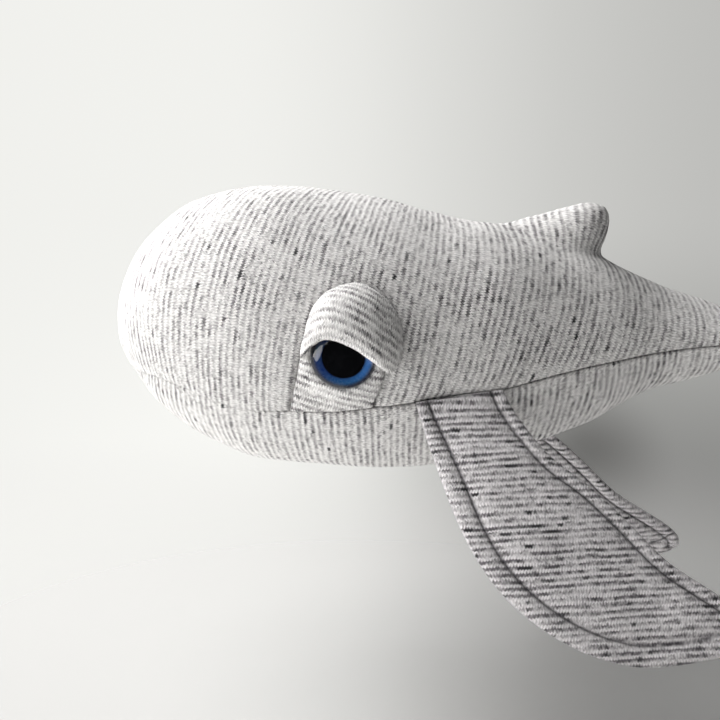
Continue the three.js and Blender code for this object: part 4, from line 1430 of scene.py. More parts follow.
    def stitch_line(self, which: int) -> Array:
        """The line of stitches inside one edge: the edge moved in by its channel where nothing is nearer.

        Args:
            which: 0 for the front edge and 1 for the rear.

        Returns:
            Points of the plane.
        """
        edges = (self.front, self.rear)
        fine = by_length(edges[which], 600)
        channel = self.widths(fine)[which]
        run = np.gradient(fine, axis=0)
        way = np.stack([-run[:, 1], run[:, 0]], -1) / np.linalg.norm(run, axis=1, keepdims=True)
        middle = (self.front.mean(0) + self.rear.mean(0)) / 2
        way *= np.sign(((middle - fine) * way).sum(1).mean())
        moved = fine + way * channel[:, None]
        own, other = nearest(moved, edges[which]), nearest(moved, edges[1 - which])
        return moved[(own > channel - 0.25) & (other > self.channels[1 - which] + 0.4)]


@dataclass(frozen=True)
class Stitching:
    """A running stitch: short raised threads that dip into the cloth at both ends."""

    length: float = 2.3
    gap: float = 0.6
    radius: float = 0.20
    proud: float = 0.16
    # points along a thread and round it
    grid: tuple = (6, 7)

    def sheets(self, line: Array, height: Map, place: Map) -> list[Sheet]:
        """The threads along a line of the plane, on both faces.

        Args:
            line: The line in the plane.
            height: Half the thickness at places of the plane.
            place: Turns plane coordinates and a height into the whale's axes.

        Returns:
            One small ring sheet for each thread.
        """
        arc = gathered(line, 0)
        step = self.length + self.gap
        t = np.linspace(0, 1, self.grid[0])
        at = (np.arange(int(arc[-1] / step)) * step + self.gap)[:, None] + self.length * t
        centre = np.stack([np.interp(at, arc, line[:, k]) for k in (0, 1)], -1)
        run = np.gradient(centre, axis=1)
        run /= np.linalg.norm(run, axis=-1, keepdims=True)
        side = np.stack([-run[..., 1], run[..., 0]], -1)
        thin = self.radius * np.sqrt(np.clip(1 - (2 * t - 1) ** 6, 0, 1)) + 0.01
        turn = np.arange(self.grid[1]) * 2 * math.pi / self.grid[1]
        up = height(centre) + self.proud * np.sin(math.pi * t)
        ring = centre[:, :, None] + side[:, :, None] * (thin[:, None] * np.cos(turn))[None, :, :, None]
        made = []
        for face in (1.0, -1.0):
            z = face * (up[:, :, None] + (thin[:, None] * np.sin(turn))[None])
            points = place(np.concatenate([ring, z[..., None]], -1))
            cloth = np.stack([at[:, :, None] + 0 * z, turn + 0 * z], -1)
            made += [Sheet(p, c, 0 * p[..., 0], True).outward() for p, c in zip(points, cloth)]
        return made


@dataclass
class Flap:
    """A quilt sewn on along its root, placed from a hinge point there: what the fins and the fluke have in common.
    """

    form: WhaleForm
    root_half: float = 1.6
    stand_off: float = 2.2
    # half the thickness at the root, the least of its rise and the rise's slope
    gather: tuple = (1.35, -0.8, 0.62)
    # the plane's axis that leads away from the root, how far out the stitches begin, the stripes' turn
    away: int = 1
    stitched_from: float = 4.0
    stripe_turn: float = -6.5
    # how far beyond the hinge the cloth would bend; nothing here bends it
    bend: float = 9.0
    quilt: Quilt = field(init=False)
    hinge: Array = field(init=False)
    down: Array = field(init=False)

    def limit(self, flat: Array) -> Array:
        """Half the thickness near the root, where the cloth is gathered into the seam."""
        thickness, least, slope = self.gather
        return thickness + np.clip(flat[..., self.away] + 1.0, least, None) * slope

    def place(self, points: Array) -> Array:
        """Points of the plane in the whale's axes."""
        raise NotImplementedError

    def half(self, flat: Array) -> Array:
        """Half the thickness at the stitches."""
        return np.minimum(self.quilt.thickness(flat), self.limit(flat))

    def cloth(self) -> Sheet:
        """The cloth, closed."""
        return self.quilt.sheet(self.place, self.stripe_turn, self.limit)

    def stitches(self) -> list[Sheet]:
        """The threads of both channels.

        Returns:
            One small ring sheet for each thread.
        """
        lines = (self.quilt.stitch_line(which) for which in (0, 1))
        return [thread for line in lines
                for thread in Stitching().sheets(line[line[:, self.away] > self.stitched_from], self.half,
                                                 self.place)]


@dataclass
class FinMaker(Flap):
    """The left pectoral fin, in its own plane on the hinge: X back along the root, Y down to the tip."""

    root: float = 37.5
    sweep: float = 120.5
    reach: float = 123.5
    thick: float = 7.0
    splay: float = 20.0
    place_share: float = 0.468
    channels: tuple = (8.5, 5.6)
    # front edge along and down, rear edge along and down
    rows: tuple = (
        (0.000, 0.000, 0.000, 0.000), (0.010, 0.100, 0.050, 0.102), (0.032, 0.265, 0.165, 0.256),
        (0.066, 0.445, 0.325, 0.372), (0.117, 0.595, 0.488, 0.522), (0.188, 0.715, 0.625, 0.660),
        (0.310, 0.842, 0.770, 0.755), (0.455, 0.935, 0.885, 0.828), (0.620, 0.990, 0.945, 0.873),
        (0.790, 0.998, 0.970, 0.898), (0.885, 0.993, 0.984, 0.916), (0.945, 0.984, 0.989, 0.931),
        (0.972, 0.972, 0.986, 0.943), (0.982, 0.960, 0.980, 0.952),
    )
    # the rows' count and easing, and the depths of those before the root
    grid: tuple = (96, 5.0)
    lead: tuple = (-3.2, -2.0, 3)
    # depth, share of the front channel's width
    taper: tuple = ((0, 0.57), (8, 0.71), (17, 0.85), (26, 0.93), (35, 1.0))
    # the bow of the fin and its wave from front to rear, over a length, and where they come in
    bow: tuple = (2.2, 1.2, 120)
    bow_from: tuple = (4, 30)
    # how deep the root is sewn in, how thin it is there, and over what depths it is drawn in
    sewn: tuple = (1.8, 0.8)
    drawn: tuple = (5.0, -3.0)

    def __post_init__(self) -> None:
        """Finds the hinge and the fin's axes on the body's seam."""
        form = self.form
        self.start_x = form.along(np.array(self.place_share))
        x = np.array([self.start_x, self.start_x + self.root])
        z = form.seam_height(form.share(x))
        start, end = form.left(x, z)
        self.line = (end - start) / np.linalg.norm(end - start)
        self.hinge = start + form.facing(x[0], z[0]) * self.stand_off
        splay = math.radians(self.splay)
        down = np.array([0.0, -math.sin(splay), -math.cos(splay)])
        down -= self.line * (down @ self.line)
        self.down = down / np.linalg.norm(down)
        self.out = np.cross(self.line, self.down)
        table = np.array(self.rows)
        front = np.stack([table[:, 0] * self.sweep, table[:, 1] * self.reach - self.root_half], -1)
        rear = np.stack([self.root + table[:, 2] * (self.sweep - self.root),
                         table[:, 3] * self.reach - self.root_half], -1)
        depth = np.linspace(*self.lead)
        lead = np.stack([0 * depth, depth, self.root + 0 * depth, depth], -1)
        both = np.concatenate([lead, by_length(np.concatenate([front, rear], -1), *self.grid)])
        self.quilt = Quilt(both[:, :2], both[:, 2:], self.channels, self.thick / 2, taper=self.taper)

    def place(self, points: Array) -> Array:
        """Points of the plane in the whale's axes, with the root drawn into the seam.

        Args:
            points: Along the root, down the fin and out of its face.

        Returns:
            The places, the tip bowed out a little.
        """
        x, y, z = points[..., 0], points[..., 1], points[..., 2]
        bowed, waved, over = self.bow
        bow = bowed * np.sin(np.clip(y / over, 0, 1) * math.pi)
        bow += waved * np.sin(np.clip(x / over, 0, 1) * 2.2 * math.pi)
        bow *= smooth(*self.bow_from, y)
        at = self.hinge + x[..., None] * self.line + y[..., None] * self.down + (z - bow)[..., None] * self.out
        seam_x = self.start_x + np.clip(x / self.root, 0, 1) * self.root
        seam_z = self.form.seam_height(self.form.share(seam_x))
        sewn = self.form.left(seam_x, seam_z) - self.form.facing(seam_x, seam_z) * self.sewn[0]
        sewn = sewn + z[..., None] * self.out * self.sewn[1]
        draw = smooth(*self.drawn, y)[..., None]
        return at * (1 - draw) + sewn * draw


@dataclass
class FlukeMaker(Flap):
    """The fluke: X back from its root, Y across, sewn into the slit of the tail."""

    span: float = 152.0
    length: float = 64.0
    thick: float = 6.6
    gather: tuple = (1.3, -0.7, 0.62)
    away: int = 0
    stitched_from: float = 3.0
    stripe_turn: float = 90.0
    bend: float = 10.0
    channels: tuple = (7.0, 7.0)
    # across, leading edge, trailing edge; for the half from the middle to the tip
    rows: tuple = (
        (0.000, 0.00, 0.72), (0.270, 0.02, 0.86), (0.500, 0.17, 0.97), (0.750, 0.39, 1.00),
        (0.950, 0.68, 0.94), (0.985, 0.755, 0.91), (1.000, 0.82, 0.85),
    )
    # the rows' count and easing
    grid: tuple = (121, 5.0)
    # how far the root reaches into the tail, and where that begins and ends
    tuck: float = 4.2
    tuck_at: tuple = (21.5, 18.0)
    tip_rise: float = 2.5

    def __post_init__(self) -> None:
        """Finds the hinge at the tail's end and both edges."""
        share = np.array(1.0)
        middle, _, _ = self.form.section(share, closed=False)
        self.hinge = np.array([float(self.form.along(share)) + self.stand_off, 0.0, float(middle)])
        self.down = np.array([1.0, 0.0, 0.0])
        half = np.array(self.rows)
        table = np.concatenate([half[:0:-1] * np.array([-1, 1, 1]), half])
        across = table[:, 0] * self.span / 2
        lead, trail = (np.stack([table[:, k] * self.length - self.root_half, across], -1) for k in (1, 2))
        both = by_length(np.concatenate([lead, trail], -1), *self.grid)
        both[:, 0] -= self.tuck * smooth(*self.tuck_at, np.abs(both[:, 1]))
        self.quilt = Quilt(both[:, :2], both[:, 2:], self.channels, self.thick / 2, seed=71)

    def place(self, points: Array) -> Array:
        """Points of the plane in the whale's axes, its tips a little raised."""
        rise = self.tip_rise * (np.abs(points[..., 1]) / (self.span / 2)) ** 2
        return points + np.stack([0 * rise, 0 * rise, rise], -1) + self.hinge


# ---- materials


class Ray(Enum):
    """The kinds of ray that a material can tell apart."""

    CAMERA = "Is Camera Ray"
    GLOSSY = "Is Glossy Ray"
    CLEAR = "Is Transmission Ray"
    SHADOW = "Is Shadow Ray"


def linear(red: float, green: float, blue: float) -> tuple[float, float, float, float]:
    """A colour given in display values from 0 to 255, as the shader's linear colour."""
    shares = (value / 255 for value in (red, green, blue))
    return *(v / 12.92 if v <= 0.04045 else ((v + 0.055) / 1.055) ** 2.4 for v in shares), 1.0


@dataclass(frozen=True)
class Wire:
    """A node's output. Sums, differences, products and quotients of wires become Math nodes."""

    graph: Graph
    socket: bpy.types.NodeSocket

    def __add__(self, other: Wire | float) -> Wire:
        """The sum."""
        return self.graph.math("ADD", self, other)

    def __radd__(self, other: float) -> Wire:
        """The sum with a number first."""
        return self.graph.math("ADD", other, self)

    def __sub__(self, other: Wire | float) -> Wire:
        """The difference."""
        return self.graph.math("SUBTRACT", self, other)

    def __rsub__(self, other: float) -> Wire:
        """The difference from a number."""
        return self.graph.math("SUBTRACT", other, self)

    def __mul__(self, other: Wire | float) -> Wire:
        """The product."""
        return self.graph.math("MULTIPLY", self, other)

    def __truediv__(self, other: Wire | float) -> Wire:
        """The quotient."""
        return self.graph.math("DIVIDE", self, other)

    def floor(self) -> Wire:
        """The whole number below."""
        return self.graph.math("FLOOR", self)

    def fraction(self) -> Wire:
        """What is over the whole number below."""
        return self.graph.math("FRACT", self)

    def size(self) -> Wire:
        """The value without its sign."""
        return self.graph.math("ABSOLUTE", self)

    def sine(self) -> Wire:
        """The sine."""
        return self.graph.math("SINE", self)

    def least(self, other: Wire | float) -> Wire:
        """The lesser of two."""
        return self.graph.math("MINIMUM", self, other)

    def most(self, other: Wire | float) -> Wire:
        """The greater of two."""
        return self.graph.math("MAXIMUM", self, other)


Value = Wire | float


class Graph:
    """Builds a node tree with short calls that return wires."""

    def __init__(self, tree: bpy.types.NodeTree) -> None:
        """Starts with an empty tree."""
        self.tree = tree
        tree.nodes.clear()

    def add(self, kind: str, inputs: dict | None = None, **settings: object) -> bpy.types.Node:
        """A node with its settings, and its inputs linked or set.

        Args:
            kind: The node's type name after ShaderNode, or NodeGroupInput and the like.
            inputs: Values or wires by input name or number.
            settings: The node's own properties.

        Returns:
            The node.
        """
        node = self.tree.nodes.new(kind if kind.startswith("NodeGroup") else f"ShaderNode{kind}")
        for key, value in settings.items():
            setattr(node, key, value)
        for key, value in (inputs or {}).items():
            if isinstance(value, Wire):
                self.tree.links.new(value.socket, node.inputs[key])
            else:
                node.inputs[key].default_value = value
        return node

    def take(self, output: int | str, kind: str, inputs: dict | None = None, **settings: object) -> Wire:
        """One output of a new node."""
        return Wire(self, self.add(kind, inputs, **settings).outputs[output])

    def math(self, operation: str, a: Value, b: Value = 0.0, clamp: bool = False) -> Wire:
        """A Math node's value."""
        return self.take(0, "Math", {0: a, 1: b}, operation=operation, use_clamp=clamp)

    def vector(self, operation: str, a: Wire, b: tuple = (0.0, 0.0, 0.0)) -> Wire:
        """A Vector Math node's vector."""
        return self.take(0, "VectorMath", {0: a, 1: b}, operation=operation)

    def length(self, vector: Wire) -> Wire:
        """A vector's length."""
        return self.take("Value", "VectorMath", {0: vector}, operation="LENGTH")

    def ramp(self, value: Wire, low: float, high: float, to_low: float = 0.0, to_high: float = 1.0) -> Wire:
        """A value mapped with an S-curve from one range to another."""
        return self.take("Result", "MapRange", {"Value": value, "From Min": low, "From Max": high,
                                                "To Min": to_low, "To Max": to_high},
                         interpolation_type="SMOOTHSTEP")

    def mix(self, factor: Value, a: Wire | tuple, b: Wire | tuple) -> Wire:
        """Two colours mixed."""
        return self.take(2, "Mix", {0: factor, 6: a, 7: b}, data_type="RGBA", blend_type="MIX")

    def noise(self, place: Wire, scale: float, detail: float = 2.0, rough: float = 0.5) -> Wire:
        """Perlin noise from 0 to 1 at a place."""
        return self.take("Fac", "TexNoise", {"Vector": place, "Scale": scale, "Detail": detail,
                                             "Roughness": rough})

    def cloud(self, x: Value, y: Value, z: float, detail: float = 1.0, rough: float = 0.5) -> Wire:
        """Noise at three values."""
        return self.noise(self.combine(x, y, z), 1.0, detail, rough)

    def random(self, x: Value, y: Value, z: float) -> Wire:
        """White noise from 0 to 1 in each cell."""
        return self.take("Value", "TexWhiteNoise", {"Vector": self.combine(x, y, z)})

    def combine(self, x: Value, y: Value, z: Value = 0.0) -> Wire:
        """A vector from three values."""
        return self.take(0, "CombineXYZ", {0: x, 1: y, 2: z})

    def separate(self, vector: Wire) -> list[Wire]:
        """A vector's three values."""
        return [Wire(self, socket) for socket in self.add("SeparateXYZ", {0: vector}).outputs]

    def bump(self, height: Wire, strength: float, depth: float) -> Wire:
        """The normal of a surface with a height, its depth in metres."""
        return self.take(0, "Bump", {"Height": height, "Strength": strength, "Distance": depth})

    def cloth(self) -> Wire:
        """The place on the cloth, in metres."""
        return self.take(0, "UVMap", uv_map=CLOTH_MAP)

    def cloth_mm(self) -> Wire:
        """The place on the cloth, in millimetres."""
        return self.take(0, "VectorMath", {0: self.cloth(), "Scale": 1 / MM}, operation="SCALE")

    def place(self) -> Wire:
        """The place on the object."""
        return self.take("Object", "TexCoord")

    def rays(self) -> Callable[[Ray], Wire]:
        """What tells each kind of ray, from one Light Path node."""
        path = self.add("LightPath")
        return lambda kind: Wire(self, path.outputs[kind.value])

    def principled(self, inputs: dict) -> Wire:
        """A Principled shader."""
        return self.take(0, "BsdfPrincipled", inputs)

    def clear(self, colour: tuple = (1.0, 1.0, 1.0, 1.0)) -> Wire:
        """A shader that lets all light through, tinted."""
        return self.take(0, "BsdfTransparent", {"Color": colour})

    def surface(self, shader: Wire, kind: str = "Material") -> None:
        """Ends the tree in a shader."""
        self.add(f"Output{kind}", {"Surface": shader})


@dataclass(frozen=True)
class Finish:
    """A named material, whose shader each kind of finish builds in its own way."""

    name: str

    def shader(self, g: Graph) -> Wire:
        """The shader, with the nodes before it."""
        raise NotImplementedError

    def made(self) -> bpy.types.Material:
        """The material, with the shader at its end.

        Returns:
            The material.
        """
        material = bpy.data.materials.new(self.name)
        material.use_nodes = True
        graph = Graph(material.node_tree)
        graph.surface(self.shader(graph))
        return material


@dataclass(frozen=True)
class Streaks:
    """Noise that runs along the stripes and differs from one stripe to the next, mapped by an S-curve."""

    scale: float
    seed: float
    detail: float
    rough: float
    span: tuple

    def read(self, graph: Graph, along: Wire, stripe: Wire) -> Wire:
        """The mapped noise at a place along a stripe."""
        return graph.ramp(graph.cloud(along * self.scale, stripe * 7.31, self.seed, self.detail, self.rough),
                          *self.span)


@dataclass(frozen=True)
class Knit:
    """Striped jersey, stitch by stitch, as a node group that takes the place on the cloth in millimetres.

    Of a stripe's four courses the first is dark, the second where the yarn is thick, and the last faintly.
    A course's edge runs in a zigzag of one V to a wale. Slubs are black lengths of yarn two courses wide,
    and a few single dark stitches. The colour also holds painted shade: in the hollows round each stitch, on
    its far leg and in the creases along seams.
    """

    wale: float = 1.2
    zigzag: float = 1.05
    courses: float = 4.0
    # how far the stripes drift and wander
    drift: float = 1.8
    wander: float = 0.55
    carried: Streaks = Streaks(0.11, 1.3, 2.0, 0.6, (0.34, 0.66, 0.30, 1.0))
    thick: Streaks = Streaks(0.16, 5.1, 1.0, 0.5, (0.30, 0.60, 0.42, 1.0))
    deep: Streaks = Streaks(0.30, 11.7, 2.0, 0.6, (0.44, 0.66, 0.05, 0.9))
    faint: Streaks = Streaks(0.20, 8.7, 1.0, 0.5, (0.50, 0.74, 0.0, 0.6))
    slub_depth: Streaks = Streaks(0.12, 15.3, 0.0, 0.5, (0.35, 0.62, 0.35, 1.0))
    # the slubs' noise along the stripe: scale, seed; and what it has to pass, less for many slubs
    slub_noise: tuple = (0.17, 9.1)
    slub_limit: tuple = (0.80, 0.30, 0.03)
    # painted shade in the hollows between the stitches' legs
    hollow: tuple = (0.12, 0.118, 0.124, 1.0)
    # painted shade: the colour that the cloth is darkened towards in the creases along seams
    painted_crease_shade: tuple = (0.05, 0.047, 0.055, 1.0)
    inputs: tuple = (
        ("Cloth", "Vector", None), ("Pitch", "Float", 2.75), ("Strength", "Float", 1.0), ("Slubs", "Float", 0.5),
        ("Ground", "Color", (0.7, 0.7, 0.7, 1)), ("Stripe", "Color", (0.3, 0.3, 0.3, 1)),
        ("Slub", "Color", (0.05, 0.05, 0.06, 1)), ("Seam", "Float", 0.0),
    )
    outputs: tuple = (("Color", "Color"), ("Height", "Float"), ("Roughness", "Float"))

    def group(self) -> bpy.types.NodeTree:
        """The group with its sockets, giving colour, height and roughness.

        Returns:
            The group's tree.
        """
        tree = bpy.data.node_groups.new("striped_jersey", "ShaderNodeTree")
        for label, kind, default in self.inputs:
            socket = tree.interface.new_socket(label, in_out="INPUT", socket_type=f"NodeSocket{kind}")
            if default is not None:
                socket.default_value = default
        for label, kind in self.outputs:
            tree.interface.new_socket(label, in_out="OUTPUT", socket_type=f"NodeSocket{kind}")
        graph = Graph(tree)
        source = graph.add("NodeGroupInput").outputs
        given = {label: Wire(graph, source[label]) for label, _, _ in self.inputs}
        graph.add("NodeGroupOutput", dict(zip(("Color", "Height", "Roughness"), self.drawn(graph, given))))
        return tree

    def drawn(self, g: Graph, given: dict[str, Wire]) -> tuple[Wire, Wire, Wire]:
        """Colour, height and roughness.

        Args:
            g: The group's graph.
            given: The group's inputs by name.

        Returns:
            One wire for each output.
        """
        u, v, _ = g.separate(given["Cloth"])
        drift = g.cloud(u * 0.045, v * 0.06, 3.1) - 0.5
        wander = g.cloud(u * 0.28, v * 0.3, 7.7) - 0.5
        across = v + (drift * self.drift + wander * self.wander)
        wale = u / self.wale
        leg = (wale.fraction() - 0.5).size() * 2.0
        course = across / (given["Pitch"] * (1 / self.courses)) + leg * self.zigzag
        number = course.floor()
        stripe = (number / self.courses).floor()
        order = number - stripe * self.courses
        half_wale = (wale * 2.0).floor()
        speck, heather = g.random(half_wale, number, 0.5), g.random(half_wale, number, 8.5)
        cluster = g.cloud(u * 0.03, v * 0.03, 5.9)
        strength = self.stripes(g, u, v, stripe, order, heather, given["Strength"])
        dash, single = self.slubs(g, u, stripe, order, speck, cluster, given["Slubs"])
        ground = g.mix(g.ramp(heather, 0.25, 1.0, 0.0, 0.32), given["Ground"], given["Stripe"])
        striped = g.mix(strength, ground, given["Stripe"])
        striped = g.mix(strength * self.deep.read(g, u, stripe), striped, given["Slub"])
        marked = g.mix(g.math("MAXIMUM", dash, single, clamp=True), striped, given["Slub"])
        # painted shade: a stitch is a V of two rounded legs, darker in the hollows round them, the far one in half
        # shade
        body = (course.fraction() * math.pi).sine()
        side = ((wale * 2.0).fraction() * math.pi).sine()
        turned = (wale + g.random(number, 3.5, 1.5) * 0.35) * (2.0 * math.pi)
        far = 0.5 + turned.sine() * 0.5
        plait = body * (0.35 + side * 0.65)
        shade = g.math("ADD", g.ramp(plait, 0.0, 0.36, 0.22, 0.0), far * 0.24, clamp=True)
        # painted shade in the creases along seams, from the Seam input
        colour = g.mix(g.math("MULTIPLY", given["Seam"], 0.55, clamp=True), g.mix(shade, marked, self.hollow),
                       self.painted_crease_shade)
        fibre = g.cloud(u * 2.6, across * 4.5, 2.2, 2.0, 0.7)
        return colour, plait + fibre * 0.5 + dash * 0.5, g.ramp(fibre, 0.2, 0.8, 0.8, 0.95)

    def stripes(self, g: Graph, u: Wire, v: Wire, stripe: Wire, order: Wire, heather: Wire,
                strength: Wire) -> Wire:
        """How dark the stripe's yarn makes each stitch.

        Args:
            g: The group's graph.
            u: The place along the stripes.
            v: The place across them.
            stripe: The stripe's number.
            order: The course's number in its stripe.
            heather: A random value for each stitch.
            strength: The stripes' strength in this cut.

        Returns:
            From 0 to 1.
        """
        first = 1.0 - order.least(1.0)
        second = 1.0 - (order - 1.0).size().least(1.0)
        last = (order - 2.0).most(0.0)
        along, thick, faint = (kind.read(g, u, stripe) for kind in (self.carried, self.thick, self.faint))
        carried = first * along + second * (thick * along) + last * faint
        area = g.cloud(u * 0.032, v * 0.045, 21.0, 2.0)
        carried = carried * (0.55 + heather * 0.75) * g.ramp(area, 0.3, 0.68, 0.72, 1.12)
        return g.math("MULTIPLY", carried, strength, clamp=True)

    def slubs(self, g: Graph, u: Wire, stripe: Wire, order: Wire, speck: Wire, cluster: Wire,
              many: Wire) -> tuple[Wire, Wire]:
        """How dark the slubs make each stitch.

        Args:
            g: The group's graph.
            u: The place along the stripes.
            stripe: The stripe's number.
            order: The course's number in its stripe.
            speck: A random value for each stitch.
            cluster: Noise that gathers the slubs.
            many: How many slubs this cut has.

        Returns:
            The long slubs and the single dark stitches.
        """
        limit, fewer, course = self.slub_limit
        bare = limit - many * (cluster * fewer) + order * course
        scale, seed = self.slub_noise
        dash = g.ramp(g.cloud(u * scale, stripe * 7.31, seed, 0.0) - bare, -0.02, 0.03)
        narrow = 1.0 - (order - 1.0).most(0.0)
        dash = g.math("MULTIPLY", dash, narrow, clamp=True) * self.slub_depth.read(g, u, stripe)
        return dash, g.ramp(speck, 0.95, 0.97) * (0.1 + cluster * 0.8)


@dataclass(frozen=True)
class JerseyFinish(Finish):
    """How one cut of the jersey looks: its colours, the stripes' pitch and strength, and its slubs."""

    jersey: bpy.types.NodeTree
    ground: tuple = (252, 251, 250)
    stripe: tuple = (114, 109, 113)
    slub: tuple = (18, 18, 22)
    pitch: float = 2.75
    strength: float = 1.0
    slubs: float = 0.7

    def shader(self, g: Graph) -> Wire:
        """The jersey group on the piece's cloth map, with a soft sheen and a knitted bump.

        Args:
            g: The material\'s graph.

        Returns:
            The shader.
        """
        knit = g.add("Group", {
            "Pitch": self.pitch, "Strength": self.strength, "Slubs": self.slubs,
            "Ground": linear(*self.ground), "Stripe": linear(*self.stripe), "Slub": linear(*self.slub),
            "Cloth": g.cloth_mm(), "Seam": g.take("Fac", "Attribute", attribute_name=SEAM_SHADE),
        }, node_tree=self.jersey)
        colour, height, rough = (Wire(g, knit.outputs[key]) for key in ("Color", "Height", "Roughness"))
        return g.principled({"Base Color": colour, "Roughness": rough, "Normal": g.bump(height, 0.7, 0.00028),
                             "Sheen Weight": 0.18, "Sheen Roughness": 0.5, "Specular IOR Level": 0.2})


@dataclass(frozen=True)
class ThreadFinish(Finish):
    """Grey sewing thread: two twisted strands, with painted shade between them."""

    between: tuple = (88, 85, 92)
    strand: tuple = (158, 154, 160)
    # how fast the strands turn along the thread and round it
    twist: tuple = (9000.0, 2000.0)

    def shader(self, g: Graph) -> Wire:
        """Strands as a sine of the place along the thread and round it.

        Args:
            g: The material\'s graph.

        Returns:
            The shader.
        """
        along, around, _ = g.separate(g.cloth())
        strand = (along * self.twist[0] + around * self.twist[1]).sine().size()
        # painted shade in the groove between the strands
        colour = g.mix(g.ramp(strand, 0.0, 0.7), linear(*self.between), linear(*self.strand))
        return g.principled({"Base Color": colour, "Roughness": 0.65, "Normal": g.bump(strand, 0.6, 0.0001),
                             "Sheen Weight": 0.1})


@dataclass(frozen=True)
class FillingFinish(Finish):
    """White polyester fibre: curled strands with painted shade between them, and small hollows."""

    shaded: tuple = (205, 206, 208)
    fibre: tuple = (243, 243, 242)

    def shader(self, g: Graph) -> Wire:
        """Strands from fine noise, hollows from round cells.

        Args:
            g: The material\'s graph.

        Returns:
            The shader.
        """
        place = g.place()
        strands = g.noise(place, 260.0, 6.0, 0.75)
        hollows = g.take("Distance", "TexVoronoi", {"Vector": place, "Scale": 120.0}, feature="SMOOTH_F1")
        # painted shade: the fibre darker between the strands
        colour = g.mix(g.ramp(strands, 0.3, 0.75), linear(*self.shaded), linear(*self.fibre))
        return g.principled({"Base Color": colour, "Normal": g.bump(strands + hollows * 0.7, 0.8, 0.002),
                             "Roughness": 0.9, "Sheen Weight": 0.3})


@dataclass(frozen=True)
class PlasticFinish(Finish):
    """Moulded plastic with a fine grain and slight changes of shade."""

    base: tuple
    worn: tuple
    rough: float
    gloss: float = 0.5

    def shader(self, g: Graph) -> Wire:
        """Shade and roughness from broad noise, bump from fine noise.

        Args:
            g: The material\'s graph.

        Returns:
            The shader.
        """
        place = g.place()
        cloud = g.noise(place, 140.0, 4.0, 0.6)
        grain = g.noise(place, 2600.0, 2.0, 0.6)
        colour = g.mix(g.ramp(cloud, 0.35, 0.7), linear(*self.base), linear(*self.worn))
        rough = g.ramp(cloud, 0.3, 0.7, self.rough * 0.8, self.rough * 1.25)
        return g.principled({"Base Color": colour, "Normal": g.bump(grain, 0.12, 0.00008),
                             "Specular IOR Level": self.gloss, "Roughness": rough})


@dataclass(frozen=True)
class IrisFinish(Finish):
    """The painted ring: blue, teal below, navy at its edges, with fine radial streaks. It is lighter behind, as
    painted light, and has a painted highlight in front.
    """

    front: tuple = (34, 62, 136)
    behind: tuple = (50, 126, 210)
    below: tuple = (44, 122, 160)
    streaked: tuple = (84, 146, 208)
    painted_glint: tuple = (70, 140, 170)
    edge: tuple = (10, 20, 50)

    def shader(self, g: Graph) -> Wire:
        """The colours by their place on the ring, in millimetres from its middle.

        Args:
            g: The material\'s graph.

        Returns:
            The shader.
        """
        place = g.cloth_mm()
        x, y, _ = g.separate(place)
        radius = g.length(place)
        streak = g.cloud(g.math("ARCTAN2", y, x) * 26.0, radius * 0.8, 0.0, 3.0, 0.6)
        # painted light: the ring lighter behind than in front
        blue = g.mix(g.ramp(x, -9.0, 11.0), linear(*self.front), linear(*self.behind))
        blue = g.mix(g.ramp(y, -6.0, -12.0) * 0.5, blue, linear(*self.below))
        blue = g.mix(g.ramp(streak, 0.3, 0.8, 0.0, 0.35), blue, linear(*self.streaked))
        # painted highlight: a teal glint in front
        blue = g.mix(g.ramp(x, -8.0, -11.0) * g.ramp(y, -2.0, 5.0) * 0.6, blue, linear(*self.painted_glint))
        edges = g.ramp(radius, 8.0, 9.0, 0.35, 1.0) * g.ramp(radius, 12.0, 9.9)
        return g.principled({"Base Color": g.mix(edges, linear(*self.edge), blue),
                             "Roughness": g.ramp(streak, 0.2, 0.8, 0.22, 0.34),
                             "Normal": g.bump(streak, 0.1, 0.0001)})


@dataclass(frozen=True)
class LensFinish(Finish):
    """Clear moulded plastic with faint wear, which lets the lamps through to the iris."""

    body: tuple = (250, 251, 253)
    shadow: tuple = (246, 248, 250)
    index: float = 1.46

    def shader(self, g: Graph) -> Wire:
        """Glass, but see-through to the rays that look for the lamps.

        Args:
            g: The material\'s graph.

        Returns:
            The shader.
        """
        place = g.place()
        wear = g.noise(place, 900.0, 3.0, 0.6)
        glass = g.principled({
            "Base Color": linear(*self.body), "Roughness": g.ramp(wear, 0.45, 0.8, 0.02, 0.06),
            "Transmission Weight": 1.0, "IOR": self.index, "Specular IOR Level": 0.3,
            "Normal": g.bump(g.noise(place, 60.0, 1.0), 0.05, 0.0003)})
        return g.take(0, "MixShader", {0: g.rays()(Ray.SHADOW), 1: glass, 2: g.clear(linear(*self.shadow))})


@dataclass(frozen=True)
class PaperFinish(Finish):
    """The floor's pale paper, darker to the camera than to the light, which fades out with distance."""

    low: tuple = (238, 238, 236)
    high: tuple = (243, 243, 241)
    seen: tuple = (168, 168, 167)
    # from where to where the camera's rays go through it, and how much
    fade: tuple = (0.10, 0.75, 0.5, 1.0)

    def shader(self, g: Graph) -> Wire:
        """Paper with a fine grain, clear far off and in mirrors.

        Args:
            g: The material\'s graph.

        Returns:
            The shader.
        """
        place, ray = g.place(), g.rays()
        plain = g.mix(g.ramp(g.noise(place, 420.0, 3.0), 0.3, 0.7), linear(*self.low), linear(*self.high))
        colour = g.mix(ray(Ray.CAMERA), plain, linear(*self.seen))
        radius = g.length(g.vector("MULTIPLY", place, (1.0, 1.0, 0.0)))
        far = g.ramp(radius, *self.fade) * ray(Ray.CAMERA)
        gone = far.most(ray(Ray.GLOSSY).most(ray(Ray.CLEAR)))
        paper = g.principled({"Base Color": colour, "Roughness": 0.9, "Specular IOR Level": 0.1})
        return g.take(0, "MixShader", {0: gone, 1: paper, 2: g.clear()})


# ---- the studio


